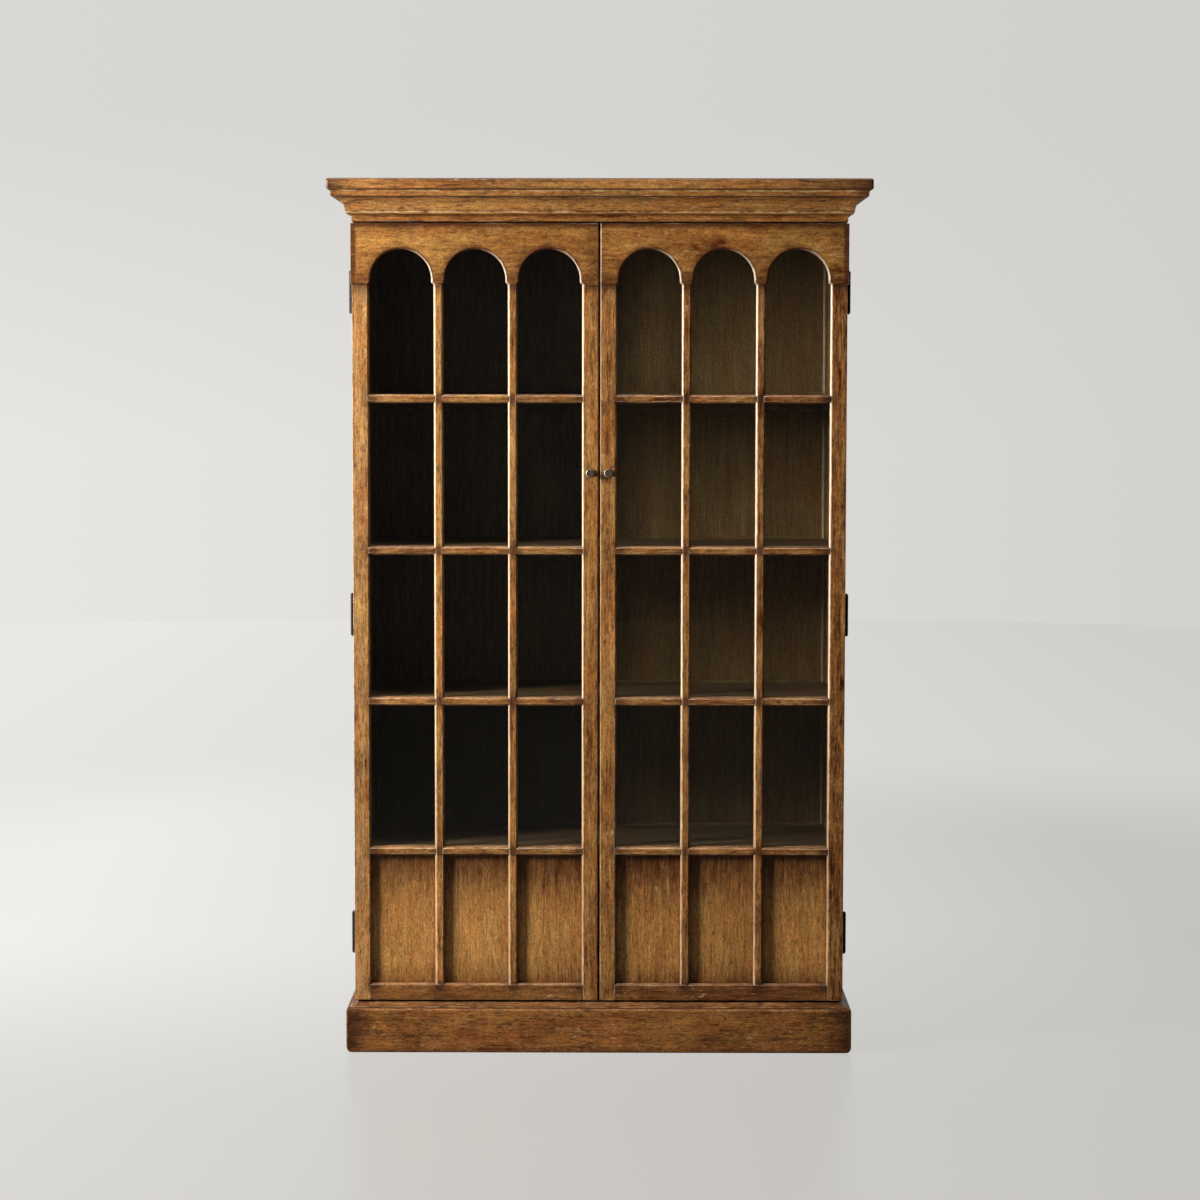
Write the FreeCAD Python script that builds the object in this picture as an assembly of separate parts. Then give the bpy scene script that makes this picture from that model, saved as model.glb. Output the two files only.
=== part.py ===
import FreeCAD, Part
import math
import os

# Free-standing glazed cabinet with two arch-headed doors. Millimetres, +Z up, front towards -Y,
# origin on the floor under the middle of the widest and deepest member, the cornice slab.

# Whole cabinet
cabinet_height = 2200
overall_depth = 457
body_half_width = 619

# Cornice: a slab over a mitred moulding, over a plain frieze board
slab_thickness = 28
slab_reach = 58
slab_rounding = 6
frieze_reveal = 17.5
crown_member_height = 16.5
crown_member_reach = 48
crown_member_rounding = 3.5
cove_top_reach = 37
cove_foot_reach = 15.5
cove_fillet = 2
cove_height = 32.5
cove_hollow = 5.8
nose_reach = 14
nose_radius = 6
nose_fillet = 1.5

# Plinth: boards round the foot of the cabinet, with a coved cap on top of them
plinth_height = 127
plinth_reach = 21.5
plinth_shoulder_radius = 8
plinth_corner_radius = 4
plinth_foot_radius = 15
plinth_front_easing = 3
cap_height = 13.5
cap_step = 0.5
cap_lip = 1.5
cap_cove_hollow = 2.5
cap_top_setback = 6

# Carcass boards
side_thickness = 22
bottom_thickness = 25
ceiling_thickness = 22
shelf_thickness = 22
shelf_setback = 6
shelf_side_clearance = 0.5
shelf_back_clearance = 0.5
cleat_height = 18
cleat_thickness = 14
cleat_setback = 30

# Back: five panels in a grooved frame, let into a rebate in the sides
back_thickness = 20
back_rebate_width = 10
back_clearance = 0.5
back_stile_sight = 12
back_rail_below_shelf = 22
back_rail_above_shelf = 6
back_bottom_rail_height = 60
back_bevel_width = 5
back_bevel_depth = 4
back_panel_set = 5
back_panel_thickness = 6
back_groove_depth = 8
back_panel_clearance = 1

# Doors
door_thickness = 26
door_side_gap = 2
door_top_gap = 4
door_foot_gap = 4
meeting_gap = 4
meeting_easing = 3.5
stile_width = 42
bottom_rail_height = 42.5
mullion_width = 24
mullion_count = 2
muntin_height = 22
muntin_count = 4
lower_panel_height = 328
bevel_width = 4.5
bevel_depth = 4.5
rebate_depth = 11
glass_thickness = 3
glass_clearance = 0.5
lower_panel_thickness = 6
rebate_width = 6
tenon_thickness = 8
tenon_length = 25
tenon_shoulder = 6
mortise_end_clearance = 1
arch_board_proud = 5.5
arch_board_overhang = 3
arch_foot_overhang = 5.3
arch_spring_rise = 12
arch_crown_margin = 64.5
top_light_extra = 2
arch_bevel = 3.5
arch_block_height = 42

# Hinges: three a side, leaves on the outer faces, barrel outside the joint of door and side
hinge_inset = 115.5
hinge_height = 109
hinge_tip_height = 4
knuckle_count = 5
knuckle_gap = 0.4
barrel_radius = 4.5
barrel_wall = 2
barrel_stand_off = 0.3
pin_clearance = 0.05
leaf_thickness = 2
leaf_width = 18
leaf_turning_clearance = 0.5
leaf_notch_clearance = 0.3
hinge_screw_count = 3
hinge_screw_pitch = 38
hinge_screw_from_pin = 9
hinge_screw_head_radius = 3.2
hinge_screw_shank_radius = 1.5
hinge_screw_length = 16
screw_clearance = 0.05
tip_top_radius = 1.5

# Knobs: one on each meeting stile, screwed from behind
knob_level = 1470
knob_head_radius = 11
knob_rim_width = 2.6
knob_rim_rise = 0.8
knob_head_thickness = 6
knob_edge_radius = 2.4
knob_neck_radius = 4
knob_neck_length = 10
knob_foot_radius = 6.5
knob_foot_thickness = 2
knob_screw_radius = 2
knob_screw_clearance = 0.2
knob_screw_grip = 9
knob_thread_clearance = 0.05
knob_screw_head_radius = 4.5
knob_screw_head_height = 2.4

# Magnet catches: a round magnet in the ceiling's front edge, a steel disc on each door
magnet_radius = 6
magnet_length = 14
magnet_clearance = 0.05
strike_radius = 8
strike_thickness = 1.5

# Working allowances: how far cuts run past a face, and how close counts as touching
overrun = 5
touching = 0.01

# Planes worked out from the sizes above
back_y = overall_depth / 2
frieze_y = slab_reach - overall_depth / 2
door_y = frieze_y + arch_board_proud
glass_set = door_thickness - rebate_depth
door_back_y = door_y + door_thickness
carcass_y = door_back_y + door_side_gap
back_frame_y = back_y - back_thickness
side_inner_x = body_half_width - side_thickness
slab_z = cabinet_height - slab_thickness
door_z = plinth_height + door_foot_gap
rail_top_z = door_z + bottom_rail_height
first_muntin_z = rail_top_z + lower_panel_height
bottom_top_z = plinth_height + bottom_thickness
crown_z = slab_z - crown_member_height
nose_z = crown_z - cove_fillet - cove_height - nose_fillet - nose_radius
frieze_z = nose_z - frieze_reveal
door_top_z = frieze_z - door_top_gap
arch_block_z = door_top_z - arch_block_height
ceiling_z = frieze_z - ceiling_thickness
plinth_board_z = plinth_height - cap_height
cap_reach = plinth_reach - plinth_shoulder_radius - cap_step
door_inner_x = meeting_gap / 2
light_start_x = door_inner_x + stile_width
light_end_x = body_half_width - stile_width
pane_width = (light_end_x - light_start_x - mullion_count * mullion_width) / (mullion_count + 1)
pane_pitch = pane_width + mullion_width
arch_radius = pane_width / 2 - arch_foot_overhang
arch_crown_z = door_top_z - arch_crown_margin
arch_spring_z = arch_crown_z - arch_radius
arch_board_z = arch_spring_z - arch_spring_rise
bar_pitch = (arch_crown_z - top_light_extra - first_muntin_z) / muntin_count
pane_height = bar_pitch - muntin_height
shelf_levels = [first_muntin_z + muntin_height + i * bar_pitch for i in range(muntin_count)]
pin_x = body_half_width + barrel_stand_off + barrel_radius
pin_y = (door_back_y + carcass_y) / 2
lowest_hinge = door_z + hinge_inset + hinge_height / 2
highest_hinge = door_top_z - hinge_inset - hinge_height / 2
hinge_levels = [lowest_hinge, (lowest_hinge + highest_hinge) / 2, highest_hinge]
knob_x = door_inner_x + stile_width / 2
catch_z = (ceiling_z + door_top_z) / 2


def vec(x, y, z):
    return FreeCAD.Vector(x, y, z)


def block(x0, x1, y0, y1, z0, z1):
    return Part.makeBox(x1 - x0, y1 - y0, z1 - z0, vec(x0, y0, z0))


def rod(radius, start, end):
    """A round bar from one point to another."""
    along = end.sub(start)
    return Part.makeCylinder(radius, along.Length, start, along)


def face_from(points, place):
    """A flat face from its corners; a point with four numbers is the end of an arc and a place on it."""
    edges = []
    last = points[-1]
    for point in points:
        start = place(*last[:2])
        end = place(*point[:2])
        if len(point) == 4:
            edges.append(Part.Arc(start, place(*point[2:]), end).toShape())
        else:
            edges.append(Part.makeLine(start, end))
        last = point
    return Part.Face(Part.Wire(edges))


def upright(points, z0, z1):
    """A vertical bar from its plan."""
    return face_from(points, lambda x, y: vec(x, y, z0)).extrude(vec(0, 0, z1 - z0))


def lying(points, x0, x1):
    """A bar along X from its section in Y and Z."""
    return face_from(points, lambda y, z: vec(x0, y, z)).extrude(vec(x1 - x0, 0, 0))


def group(shapes):
    return Part.makeCompound([solid for shape in shapes for solid in shape.Solids])


def mirrored(shape):
    return shape.mirror(vec(0, 0, 0), vec(1, 0, 0))


def hollow_mid(start, end, hollow):
    """The middle of an arc from start to end that lies hollow to the left of the chord."""
    along = (end[0] - start[0], end[1] - start[1])
    length = math.hypot(*along)
    mid = ((start[0] + end[0]) / 2, (start[1] + end[1]) / 2)
    return (mid[0] - along[1] / length * hollow, mid[1] + along[0] / length * hollow)


def corner_mid(centre, radius, turn):
    """A place on a round of the given centre, at a turn in degrees from the first axis."""
    angle = math.radians(turn)
    return (centre[0] + radius * math.cos(angle), centre[1] + radius * math.sin(angle))


def mitred_runs(profile, front_y, inward):
    """Front, right and left lengths of one moulding, mitred at the two front corners."""
    reach = slab_reach + overrun
    far_x = body_half_width + reach
    front = face_from(profile, lambda out, z: vec(-far_x, front_y - out, z)).extrude(vec(2 * far_x, 0, 0))
    right = face_from(profile, lambda out, z: vec(body_half_width + out, front_y - reach, z))
    right = right.extrude(vec(0, back_y - front_y + reach, 0))
    top = cabinet_height + overrun
    in_x = body_half_width - inward
    in_y = front_y + inward
    front_plan = [(in_x, in_y), (far_x, front_y - reach), (-far_x, front_y - reach), (-in_x, in_y)]
    right_plan = [(in_x, in_y), (far_x, front_y - reach), (far_x, back_y), (in_x, back_y)]
    front = front.common(upright(front_plan, 0, top))
    right = right.common(upright(right_plan, 0, top))
    return front, right, mirrored(right)


# Carcass

def side_panel():
    panel = block(side_inner_x, body_half_width, carcass_y, back_y, 0, slab_z)
    rebate = block(side_inner_x - overrun, side_inner_x + back_rebate_width,
                   back_frame_y - back_clearance, back_y + overrun, -overrun, slab_z + overrun)
    return panel.cut(rebate)


def bottom_board():
    return block(-side_inner_x, side_inner_x, carcass_y, back_frame_y - back_clearance,
                 plinth_height, bottom_top_z)


def magnet_place(radius, y0, y1):
    return rod(radius, vec(knob_x, y0, catch_z), vec(knob_x, y1, catch_z))


def ceiling_board():
    board = block(-side_inner_x, side_inner_x, carcass_y, back_frame_y - back_clearance,
                  ceiling_z, ceiling_z + ceiling_thickness)
    hole = magnet_place(magnet_radius + magnet_clearance, carcass_y - overrun, carcass_y + magnet_length)
    return board.cut(hole).cut(mirrored(hole))


def catch_magnets():
    magnet = magnet_place(magnet_radius, carcass_y, carcass_y + magnet_length)
    return group([magnet, mirrored(magnet)])


def shelf(level):
    half = side_inner_x - shelf_side_clearance
    return block(-half, half, carcass_y + shelf_setback, back_frame_y - shelf_back_clearance,
                 level - shelf_thickness, level)


def shelf_cleats():
    """A batten on each side under every shelf, its front end splayed."""
    front = carcass_y + cleat_setback
    inner = side_inner_x - cleat_thickness
    cleats = []
    for level in shelf_levels:
        top = level - shelf_thickness
        plan = [(side_inner_x, front), (side_inner_x, back_frame_y - back_clearance),
                (inner, back_frame_y - back_clearance), (inner, front + cleat_thickness)]
        cleat = upright(plan, top - cleat_height, top)
        cleats += [cleat, mirrored(cleat)]
    return group(cleats)


def grooved_edge(edge, side):
    """Half of a back member's section: bevelled front arris and a groove; side is -1 or +1 outwards."""
    front = back_frame_y
    groove_y = front + back_panel_set
    return [(edge - side * back_bevel_width, front), (edge, front + back_bevel_depth), (edge, groove_y),
            (edge - side * back_groove_depth, groove_y),
            (edge - side * back_groove_depth, groove_y + back_panel_thickness),
            (edge, groove_y + back_panel_thickness), (edge, back_y)]


def back_stile():
    outer = side_inner_x + back_rebate_width - back_clearance
    inner = side_inner_x - back_stile_sight
    plan = [(outer, back_y), (outer, back_frame_y)] + grooved_edge(inner, -1)
    return upright(plan, plinth_height, slab_z)


def back_rail_edges():
    """Foot and head of each rail of the back, from the lowest up."""
    edges = [(plinth_height, plinth_height + back_bottom_rail_height)]
    for level in shelf_levels:
        edges.append((level - shelf_thickness - back_rail_below_shelf, level + back_rail_above_shelf))
    edges.append((ceiling_z - back_rail_below_shelf, slab_z))
    return edges


def back_rails(stiles):
    """The top and bottom rails are grooved on one edge, the others on both."""
    edges = back_rail_edges()
    half = side_inner_x - back_stile_sight + back_groove_depth
    rails = []
    for number, (foot, head) in enumerate(edges):
        lower = [(back_frame_y, foot), (back_y, foot)]
        if number > 0:
            lower = [(y, z) for z, y in grooved_edge(foot, -1)]
        upper = [(back_y, head), (back_frame_y, head)]
        if number < len(edges) - 1:
            upper = [(y, z) for z, y in reversed(grooved_edge(head, 1))]
        rails.append(lying(lower + upper, -half, half).cut(stiles))
    return group(rails)


def back_panels():
    half = side_inner_x - back_stile_sight + back_groove_depth - back_panel_clearance
    slack = back_groove_depth - back_panel_clearance
    edges = back_rail_edges()
    y0 = back_frame_y + back_panel_set
    panels = []
    for below, above in zip(edges, edges[1:]):
        panels.append(block(-half, half, y0, y0 + back_panel_thickness, below[1] - slack, above[0] + slack))
    return group(panels)


# Plinth

def plinth_boards():
    """Mitred boards with a rounded shoulder; their top is under the cap, their feet are worn round."""
    radius = plinth_shoulder_radius
    centre = (plinth_reach - radius, plinth_board_z - radius)
    easing = plinth_front_easing
    foot_centre = (plinth_reach - easing, easing)
    profile = [(0, 0), (plinth_reach - easing, 0),
               (plinth_reach, easing) + corner_mid(foot_centre, easing, -45),
               (plinth_reach, plinth_board_z - radius),
               (plinth_reach - radius, plinth_board_z) + corner_mid(centre, radius, 45),
               (0, plinth_board_z)]
    front, right, left = mitred_runs(profile, door_y, 0)
    x = body_half_width + plinth_reach
    y = door_y - plinth_reach
    corner = block(x - plinth_corner_radius, x + overrun, y - overrun, y + plinth_corner_radius,
                   -overrun, plinth_height)
    keep = rod(plinth_corner_radius, vec(x - plinth_corner_radius, y + plinth_corner_radius, -overrun),
               vec(x - plinth_corner_radius, y + plinth_corner_radius, plinth_height))
    corner = corner.cut(keep)
    foot = plinth_foot_radius
    end = back_y + overrun
    sole = block(x - foot, x + overrun, y - overrun, end, -overrun, foot)
    sole = sole.cut(rod(foot, vec(x - foot, y - overrun, foot), vec(x - foot, end, foot)))
    corner = corner.fuse(sole)
    return front.cut(corner).cut(mirrored(corner)), right.cut(corner), left.cut(mirrored(corner))


def plinth_caps():
    """Coved strips on the plinth boards; the front one reaches back under the doors to the carcass."""
    depth = carcass_y - door_y
    foot = (cap_reach, plinth_board_z + cap_lip)
    head = (-cap_top_setback, plinth_height)
    profile = [(-depth, plinth_board_z), (cap_reach, plinth_board_z), foot,
               head + hollow_mid(foot, head, cap_cove_hollow), (-depth, plinth_height)]
    front, right, left = mitred_runs(profile, door_y, depth)
    inside = block(0, body_half_width, carcass_y, back_y + overrun, 0, cabinet_height)
    return front, right.cut(inside), left.cut(mirrored(inside))


def base_rail():
    return block(-body_half_width, body_half_width, door_y, carcass_y, 0, plinth_board_z)


def plinth_back():
    half = side_inner_x + back_rebate_width - back_clearance
    return block(-half, half, back_frame_y, back_y, 0, plinth_height)


# Cornice

def frieze_board():
    return block(-body_half_width, body_half_width, frieze_y, carcass_y, frieze_z, slab_z)


def cornice_mouldings():
    """Nose, cove and crown member in one moulding, mitred round the front."""
    nose_centre = (nose_reach - nose_radius, nose_z + nose_radius)
    cove_foot = (cove_foot_reach, nose_z + nose_radius + nose_fillet)
    cove_head = (cove_top_reach, crown_z - cove_fillet)
    crown_centre = (crown_member_reach - crown_member_rounding, crown_z + crown_member_rounding)
    profile = [(0, nose_z), (nose_reach - nose_radius, nose_z),
               (nose_reach, nose_z + nose_radius) + corner_mid(nose_centre, nose_radius, -45),
               (nose_reach, nose_z + nose_radius + nose_fillet), cove_foot,
               cove_head + hollow_mid(cove_foot, cove_head, cove_hollow),
               (cove_top_reach, crown_z), (crown_member_reach - crown_member_rounding, crown_z),
               (crown_member_reach, crown_z + crown_member_rounding)
               + corner_mid(crown_centre, crown_member_rounding, -45),
               (crown_member_reach, slab_z), (0, slab_z)]
    return mitred_runs(profile, frieze_y, 0)


def cornice_slab():
    """The slab over everything, rounded on its front and sides and square at the back."""
    half = body_half_width + slab_reach
    slab = block(-half, half, frieze_y - slab_reach, back_y, slab_z, cabinet_height)
    rounded = [edge for edge in slab.Edges if edge.CenterOfMass.y < back_y - slab_rounding]
    return slab.makeFillet(slab_rounding, rounded)


# Hinges, drawn for the right-hand side

def knuckle_levels(level):
    """Foot and head of each knuckle of a hinge, from the lowest up."""
    foot = level - hinge_height / 2 + hinge_tip_height
    step = (hinge_height - 2 * hinge_tip_height) / knuckle_count
    gap = knuckle_gap / 2
    return [(foot + i * step + gap, foot + (i + 1) * step - gap) for i in range(knuckle_count)]


def hinge_screw_levels(level):
    middle = (hinge_screw_count - 1) / 2
    return [level + (i - middle) * hinge_screw_pitch for i in range(hinge_screw_count)]


def hinge_leaf(level, side):
    """One leaf with its knuckles; side is +1 for the cabinet's leaf and -1 for the door's."""
    face = body_half_width
    clear = barrel_radius + leaf_turning_clearance
    foot = level - hinge_height / 2 + hinge_tip_height
    head = level + hinge_height / 2 - hinge_tip_height
    far = pin_y + side * leaf_width
    near = pin_y + side * clear
    leaf = block(face, face + leaf_thickness, min(near, far), max(near, far), foot, head)
    own = 0 if side > 0 else 1
    hole_radius = barrel_radius - barrel_wall
    for z0, z1 in knuckle_levels(level)[own::2]:
        arm = block(face, face + leaf_thickness, min(pin_y, near), max(pin_y, near), z0, z1)
        ring = rod(barrel_radius, vec(pin_x, pin_y, z0), vec(pin_x, pin_y, z1))
        hole = rod(hole_radius, vec(pin_x, pin_y, z0 - overrun), vec(pin_x, pin_y, z1 + overrun))
        leaf = leaf.fuse(arm).fuse(ring).cut(hole)
    for z in hinge_screw_levels(level):
        leaf = leaf.cut(hinge_screw(z, side, screw_clearance))
    return leaf.removeSplitter()


def hinge_screw(z, side, slack):
    """A countersunk screw flush with its leaf; slack grows it into the hole that takes it."""
    y = pin_y + side * hinge_screw_from_pin
    outer = body_half_width + leaf_thickness
    tip = vec(outer - hinge_screw_length, y, z)
    shank = rod(hinge_screw_shank_radius + slack, tip, vec(outer, y, z))
    head = Part.makeCone(hinge_screw_shank_radius + slack, hinge_screw_head_radius + slack, leaf_thickness,
                         vec(body_half_width, y, z), vec(1, 0, 0))
    return shank.fuse(head).removeSplitter()


def hinge_screws(side, slack):
    return [hinge_screw(z, side, slack) for level in hinge_levels for z in hinge_screw_levels(level)]


def hinge_pin(level):
    """A straight pin with a tapered tip at each end."""
    radius = barrel_radius - barrel_wall - pin_clearance
    foot = level - hinge_height / 2
    head = level + hinge_height / 2
    pin = rod(radius, vec(pin_x, pin_y, foot + hinge_tip_height), vec(pin_x, pin_y, head - hinge_tip_height))
    top = Part.makeCone(barrel_radius, tip_top_radius, hinge_tip_height,
                        vec(pin_x, pin_y, head - hinge_tip_height), vec(0, 0, 1))
    bottom = Part.makeCone(barrel_radius, tip_top_radius, hinge_tip_height,
                           vec(pin_x, pin_y, foot + hinge_tip_height), vec(0, 0, -1))
    return pin.fuse(top).fuse(bottom).removeSplitter()


def hinge_leaves(side):
    return group([hinge_leaf(level, side) for level in hinge_levels])


# Doors, drawn for the right-hand one

def bevelled_edge(edge, side):
    """One glazed edge of a bar: bevel, straight and rebate; side is -1 or +1 towards the glass."""
    return [(edge - side * bevel_width, door_y), (edge, door_y + bevel_depth), (edge, door_y + glass_set),
            (edge - side * rebate_width, door_y + glass_set), (edge - side * rebate_width, door_back_y)]


def eased_arris(front_y):
    """The rounded front arris beside the other door, as the start and the end of its arc."""
    centre = (door_inner_x + meeting_easing, front_y + meeting_easing)
    return [(door_inner_x, centre[1]), (centre[0], front_y) + corner_mid(centre, meeting_easing, 225)]


def meeting_stile_plan():
    return [(door_inner_x, door_back_y)] + eased_arris(door_y) + bevelled_edge(light_start_x, 1)


def hinge_stile_plan():
    return [(body_half_width, door_back_y), (body_half_width, door_y)] + bevelled_edge(light_end_x, -1)


def tenons():
    """The two tenons of the bottom rail, one into each stile."""
    y0 = door_y + (door_thickness - tenon_thickness) / 2
    z0 = door_z + tenon_shoulder
    z1 = rail_top_z - bevel_depth - tenon_shoulder
    places = [(light_start_x - tenon_length, light_start_x), (light_end_x, light_end_x + tenon_length)]
    return places, y0, y0 + tenon_thickness, z0, z1


def mortises():
    places, y0, y1, z0, z1 = tenons()
    longer = [(places[0][0] - mortise_end_clearance, places[0][1]),
              (places[1][0], places[1][1] + mortise_end_clearance)]
    return Part.makeCompound([block(x0, x1, y0, y1, z0, z1) for x0, x1 in longer])


def lap(x0, x1):
    """What is cut from the front of the uprights to let the arch board in."""
    return block(x0, x1, door_y - overrun, door_y + glass_set, arch_board_z, door_top_z + overrun)


def meeting_stile():
    stile = upright(meeting_stile_plan(), door_z, door_top_z)
    hole = rod(knob_screw_radius + knob_screw_clearance, vec(knob_x, door_y - overrun, knob_level),
               vec(knob_x, door_back_y + overrun, knob_level))
    return stile.cut(lap(0, light_start_x + overrun)).cut(mortises()).cut(hole)


def hinge_stile():
    stile = upright(hinge_stile_plan(), door_z, door_top_z)
    stile = stile.cut(lap(light_end_x - overrun, body_half_width + overrun)).cut(mortises())
    for screw in hinge_screws(-1, screw_clearance):
        stile = stile.cut(screw)
    return stile


def arch_opening(middle):
    """Plan of one arch: splayed foot, short upright, half round."""
    spring = arch_spring_z
    splay_z = arch_board_z + arch_foot_overhang
    points = [(middle + pane_width / 2, arch_board_z - overrun), (middle + pane_width / 2, arch_board_z),
              (middle + arch_radius, splay_z), (middle + arch_radius, spring),
              (middle - arch_radius, spring, middle, spring + arch_radius),
              (middle - arch_radius, splay_z), (middle - pane_width / 2, arch_board_z),
              (middle - pane_width / 2, arch_board_z - overrun)]
    depth = vec(0, door_thickness + arch_board_proud + 2 * overrun, 0)
    return face_from(points, lambda x, z: vec(x, frieze_y - overrun, z)).extrude(depth)


def pane_middles():
    return [light_start_x + pane_width / 2 + i * pane_pitch for i in range(mullion_count + 1)]


def arch_board(stiles):
    """The board with the three arches, lapped over the uprights, and full thickness along its head."""
    end_x = body_half_width + arch_board_overhang
    plan = [(door_inner_x, door_y + glass_set)] + eased_arris(frieze_y)
    board = upright(plan + [(end_x, frieze_y), (end_x, door_y + glass_set)], arch_board_z, door_top_z)
    for middle in pane_middles():
        board = board.cut(arch_opening(middle))
    rims = []
    for edge in board.Edges:
        at = edge.CenterOfMass
        in_front = all(abs(corner.Y - frieze_y) < touching for corner in edge.Vertexes)
        in_arch = light_start_x < at.x < light_end_x and arch_board_z + touching < at.z < arch_block_z
        if in_front and in_arch:
            rims.append(edge)
    board = board.makeChamfer(arch_bevel, rims)
    head = block(door_inner_x, body_half_width, door_y + glass_set, door_back_y, arch_block_z, door_top_z)
    board = board.fuse(head).cut(stiles).removeSplitter()
    leaf = block(body_half_width - leaf_notch_clearance, end_x + overrun,
                 pin_y - leaf_width - leaf_notch_clearance, pin_y, arch_board_z - overrun,
                 hinge_levels[-1] + hinge_height / 2 + leaf_notch_clearance)
    return board.cut(leaf)


def bottom_rail(stiles):
    section = [(door_back_y, door_z), (door_y, door_z)]
    section += [(y, z) for z, y in bevelled_edge(rail_top_z, 1)]
    rail = lying(section, light_start_x - bevel_width, light_end_x + bevel_width).cut(stiles)
    places, y0, y1, z0, z1 = tenons()
    for x0, x1 in places:
        rail = rail.fuse(block(x0, x1, y0, y1, z0, z1))
    return rail.removeSplitter()


def mullions(rail, board):
    bars = []
    for i in range(mullion_count):
        start = light_start_x + (i + 1) * pane_width + i * mullion_width
        plan = bevelled_edge(start, -1) + list(reversed(bevelled_edge(start + mullion_width, 1)))
        bars.append(upright(plan, rail_top_z - rebate_width, arch_block_z).cut(rail).cut(board))
    return group(bars)


def muntins(uprights):
    """Four rows of bars between the uprights, their ends scribed over the bevels."""
    rows = []
    for i in range(muntin_count):
        foot = first_muntin_z + i * bar_pitch
        lower = [(y, z) for z, y in bevelled_edge(foot, -1)]
        upper = [(y, z) for z, y in reversed(bevelled_edge(foot + muntin_height, 1))]
        row = lying(lower + upper, light_start_x - rebate_width, light_end_x + rebate_width)
        rows.append(row.cut(uprights))
    return group(rows)


def light_heights():
    """Foot and head of each opening of a column, the wood panel first."""
    heights = [(rail_top_z, first_muntin_z)]
    for i in range(muntin_count):
        foot = first_muntin_z + muntin_height + i * bar_pitch
        head = foot + pane_height if i < muntin_count - 1 else arch_block_z - rebate_width
        heights.append((foot, head))
    return heights


def filling(middle, foot, head, thickness):
    grow = rebate_width - glass_clearance
    half = pane_width / 2 + grow
    y0 = door_y + glass_set
    return block(middle - half, middle + half, y0, y0 + thickness, foot - grow, head + grow)


def glass_panes():
    return group([filling(middle, foot, head, glass_thickness)
                  for middle in pane_middles() for foot, head in light_heights()[1:]])


def lower_panels():
    foot, head = light_heights()[0]
    return group([filling(middle, foot, head, lower_panel_thickness) for middle in pane_middles()])


def beads_round(middle, foot, head, thickness):
    """Four strips behind a pane or panel, filling the rebate to the back of the door."""
    x0 = middle - pane_width / 2
    x1 = middle + pane_width / 2
    y0 = door_y + glass_set + thickness
    strips = [(x0 - rebate_width, x0, foot - rebate_width, head + rebate_width),
              (x1, x1 + rebate_width, foot - rebate_width, head + rebate_width),
              (x0, x1, foot - rebate_width, foot), (x0, x1, head, head + rebate_width)]
    return [block(a, b, y0, door_back_y, c, d) for a, b, c, d in strips]


def glazing_beads():
    beads = []
    for middle in pane_middles():
        for number, (foot, head) in enumerate(light_heights()):
            thickness = glass_thickness if number else lower_panel_thickness
            beads += beads_round(middle, foot, head, thickness)
    return group(beads)


def knob():
    """A turned knob: foot, neck and flat head with a raised rim, bored for its screw."""
    neck_y = knob_foot_thickness
    head_y = neck_y + knob_neck_length
    face_y = head_y + knob_head_thickness
    edge = knob_edge_radius
    inner = knob_head_radius - knob_rim_width
    centre = (knob_head_radius - edge, face_y - edge)
    outline = [(0, 0), (knob_foot_radius, 0), (knob_foot_radius, neck_y), (knob_neck_radius, neck_y),
               (knob_neck_radius, head_y), (knob_head_radius, head_y), (knob_head_radius, face_y - edge),
               (knob_head_radius - edge, face_y) + corner_mid(centre, edge, 45),
               (inner, face_y), (inner, face_y - knob_rim_rise), (0, face_y - knob_rim_rise)]
    half = face_from(outline, lambda out, along: vec(knob_x + out, door_y - along, knob_level))
    turned = half.revolve(vec(knob_x, door_y, knob_level), vec(0, 1, 0), 360)
    bore = rod(knob_screw_radius + knob_thread_clearance, vec(knob_x, door_y + overrun, knob_level),
               vec(knob_x, door_y - knob_screw_grip - knob_thread_clearance, knob_level))
    return turned.cut(bore)


def knob_screw():
    shank = rod(knob_screw_radius, vec(knob_x, door_y - knob_screw_grip, knob_level),
                vec(knob_x, door_back_y, knob_level))
    head = rod(knob_screw_head_radius, vec(knob_x, door_back_y, knob_level),
               vec(knob_x, door_back_y + knob_screw_head_height, knob_level))
    return shank.fuse(head).removeSplitter()


def catch_strike():
    return rod(strike_radius, vec(knob_x, door_back_y, catch_z),
               vec(knob_x, door_back_y + strike_thickness, catch_z))


def door_pieces():
    meeting = meeting_stile()
    hinged = hinge_stile()
    stiles = Part.makeCompound([meeting, hinged])
    plain_stiles = Part.makeCompound([upright(meeting_stile_plan(), door_z, door_top_z),
                                      upright(hinge_stile_plan(), door_z, door_top_z)])
    board = arch_board(stiles)
    rail = bottom_rail(plain_stiles)
    bars = mullions(rail, board)
    rows = muntins(Part.makeCompound([plain_stiles, bars]))
    return {
        "meeting_stile": meeting, "hinge_stile": hinged, "arch_board": board, "bottom_rail": rail,
        "mullions": bars, "muntins": rows, "glass_panes": glass_panes(), "lower_panels": lower_panels(),
        "glazing_beads": glazing_beads(), "knob": knob(), "knob_screw": knob_screw(),
        "hinge_leaves": hinge_leaves(-1), "hinge_screws": group(hinge_screws(-1, 0)),
        "catch_strike": catch_strike(),
    }


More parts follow.
